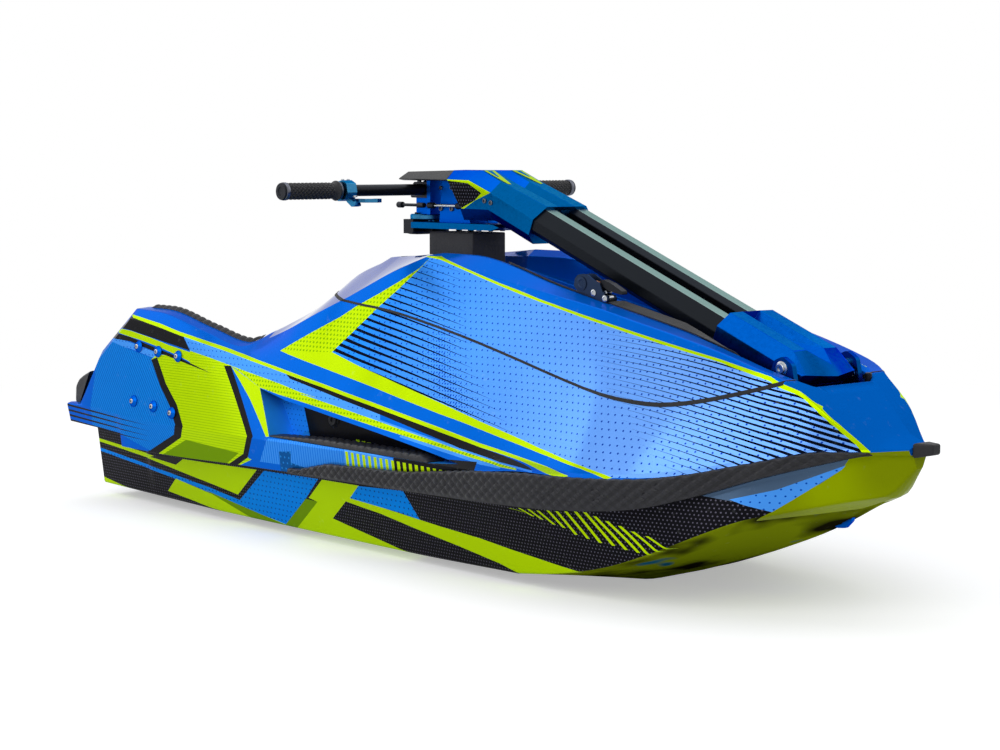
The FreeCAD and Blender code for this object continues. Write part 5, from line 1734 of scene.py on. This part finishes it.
bm = from_node("nose_bumper")
front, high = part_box("nose_bumper")[1][0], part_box("nose_bumper")[1][2]
for v in bm.verts:
    v.co.z = high - (high - v.co.z) * (0.72 if v.co.x > front - 0.005 else 1)
soften(bm, 4, 4)
fitting("nose_block", bm, "rubber_black", ["nose_bumper"])

# ---------------------------------------------------------------- tray and deck fittings
# cup washers of the footholds: side-view places, and profiles of the cup and its screw
CUP = [(12, 0.2), (12, 1.4), (11.4, 2.2), (7.6, 6.8), (6.4, 7), (5.8, 4)]
CUP_SCREW = [(5.8, 4), (5.6, 6), (4.6, 7.4), (2.8, 7.6), (2.5, 4.8), (0, 4.8)]
CUPS = [(262, 348), (332, 342), (402, 337), (260, 235), (332, 230), (398, 222)]


def panel_point(x, z):
    """Point and outward direction of the side panel above the crease, on the port side."""
    low_y, low_z, high_y, high_z = [deck_at(c, x) for c in range(2, 6)]
    y = low_y + (z - low_z) / (high_z - low_z) * (high_y - low_y)
    return y, Vector((0, high_z - low_z, low_y - high_y)).normalized()


for side, s in (("right", -1), ("left", 1)):
    bm = bmesh.new()
    for x, z in CUPS:
        y, out = panel_point(x, z)
        out = (0, s * out.y, out.z)
        lathe(bm, (x, s * y, z), out, CUP, 36, 0)
        lathe(bm, (x, s * y, z), out, CUP_SCREW, 24, 1)
    fitting("cup_washers_" + side, welded(bm), ["anodised_bright", "steel"],
            ["foothold_bolts_" + side])
    bm = bmesh.new()
    lathe(bm, (860, s * 272, 246), (0, s, 0), [(15, 0), (15, 1), (13.6, 2), (13, 1.2), (12, 1.2), (11.6, 4.4),
                                               (10, 5.4), (4, 5.4), (3.4, 3), (0, 3)], 40)
    fitting("drain_plug_" + side, welded(bm), "rubber_black", ["side_plug_" + side])
    bm = from_node("foothold_" + side)
    soften(bm, 2.2, 3, 40)
    fitting("foot_cup_" + side, bm, "laminate", ["foothold_" + side], sharp=50)

bm = bmesh.new()
rim = soft_outline([(1836, 152), (1890, 172), (1887, 152), (1874, 139), (1858, 137), (1845, 142)], 6, 3)
hole = []
for x, z in rim:
    t = math.atan2(z - 148, x - 1863)
    hole.append((1863 + 4.6 * math.cos(t), 148 + 4.6 * math.sin(t)))
faces = []
for y in (-4, 4):
    quads(bm, [[place(x, y, z) for x, z in ring] for ring in (rim, hole)], True)
for ring in (rim, hole):
    quads(bm, [[place(x, y, z) for x, z in ring] for y in (-4, 4)], True)
welded(bm)
soften(bm, 1, 2, 60)
fitting("bow_eye", bm, "anodised_bright", ["tow_eye"])
bm = from_node("ride_plate")
soften(bm, 2.5, 3)
for x in (60, 150, 300, 400):
    for y in (-90, 90):
        screw(bm, (x, y, 2.4), (0, 0, -1), 6, 2.2, 1)
fitting("ride_plate_skin", bm, ["cast", "steel"], ["ride_plate"])
bm = from_node("intake_grate")
soften(bm, 1.6, 3)
fitting("grate_skin", bm, "cast", ["intake_grate"])

for node, mat in (("handlebar", "satin_black"), ("pump_housing", "cast"), ("impeller", "steel"),
                  ("driveshaft", "steel"), ("steering_nozzle", "satin_black"), ("trim_ring", "cast"),
                  ("engine_block", "iron"), ("pole_pivot_pin", "steel")):
    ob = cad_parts[node]
    for slot in ob.material_slots:
        slot.material = MATS[mat]
    if not ob.material_slots:
        ob.data.materials.append(MATS[mat])

# ---------------------------------------------------------------- stage, light and camera
scene = bpy.context.scene
scene.view_settings.view_transform = "Standard"


def area(name, loc, target, size, power, colour=(1, 1, 1)):
    data = bpy.data.lights.new(name, "AREA")
    data.shape = "RECTANGLE"
    data.size, data.size_y = size
    data.energy = power
    data.color = colour
    ob = bpy.data.objects.new(name, data)
    scene.collection.objects.link(ob)
    ob.location = loc
    ob.rotation_euler = (Vector(target) - Vector(loc)).to_track_quat("-Z", "Y").to_euler()


area("key", (1.6, -3.9, 3.2), (0, 0, 0.3), (5.0, 3.6), 105)
area("top", (-0.6, 0.4, 3.6), (0, 0, 0.3), (5.0, 4.0), 46)
area("stern", (-3.6, -1.6, 1.9), (-0.4, 0, 0.3), (3.0, 2.6), 32)
area("far", (1.2, 3.6, 2.6), (0, 0, 0.3), (4.0, 2.6), 34)

def emptied(owner):
    """Node tree of a world or material, without its default nodes."""
    owner.use_nodes = True
    owner.node_tree.nodes.clear()
    return owner.node_tree


def seen_directly(tree):
    """1 for rays from the camera, off gloss and through glass, 0 for those that bring light."""
    path = put(tree, "LightPath").outputs
    seen = put(tree, "Math", path["Is Camera Ray"], path["Is Glossy Ray"], operation="MAXIMUM")
    return put(tree, "Math", seen.outputs[0], path["Is Transmission Ray"], operation="MAXIMUM").outputs[0]


def first_out(tree, kind, *inputs, **props):
    """First output of a new node."""
    return put(tree, kind, *inputs, **props).outputs[0]


world = bpy.data.worlds.new("studio")
scene.world = world
tree = emptied(world)
lit = first_out(tree, "Background", (0.93, 0.96, 1, 1), 0.42)
white = first_out(tree, "Background", (1, 1, 1, 1), 1.0)
put(tree, "OutputWorld", first_out(tree, "MixShader", seen_directly(tree), lit, white))

floor_mesh = bpy.data.meshes.new("floor")
floor_mesh.from_pydata([(-30, -30, 0), (30, -30, 0), (30, 30, 0), (-30, 30, 0)], [], [(0, 1, 2, 3)])
floor = bpy.data.objects.new("floor", floor_mesh)
scene.collection.objects.link(floor)
fm = bpy.data.materials.new("floor_white")
tree = emptied(fm)
# near the craft the floor takes its shadow; further out it is plain white, so no horizon shows
FLOOR_LIFT, NEAR_END, FAR_START = 0.4, 1.5, 3.2
seen = seen_directly(tree)
lift = first_out(tree, "Math", seen, FLOOR_LIFT, operation="MULTIPLY")
near = first_out(tree, "AddShader", first_out(tree, "BsdfDiffuse", (0.82, 0.82, 0.82, 1)),
           first_out(tree, "Emission", None, lift))
reach = put(tree, "VectorMath", put(tree, "NewGeometry").outputs["Position"], operation="LENGTH")
far = first_out(tree, "MapRange", reach.outputs["Value"], NEAR_END, FAR_START,
                interpolation_type="SMOOTHSTEP")
mask = first_out(tree, "Math", far, seen, operation="MULTIPLY")
put(tree, "OutputMaterial", first_out(tree, "MixShader", mask, near, first_out(tree, "Emission")))
floor_mesh.materials.append(fm)

cam_data = bpy.data.cameras.new("camera")
cam = bpy.data.objects.new("camera", cam_data)
scene.collection.objects.link(cam)
scene.camera = cam
cam_data.sensor_width = 36
# lens, direction and place fitted to the photo's perspective
cam_data.lens = 77.617
cam_data.clip_end = 200
yaw, pitch = math.radians(138.251), math.radians(-5.797)
look = Vector((math.cos(yaw) * math.cos(pitch), math.sin(yaw) * math.cos(pitch), math.sin(pitch)))
cam.location = (4.084 - LENGTH / 2, -2.729, 0.741)
cam.rotation_euler = look.to_track_quat("-Z", "Y").to_euler()
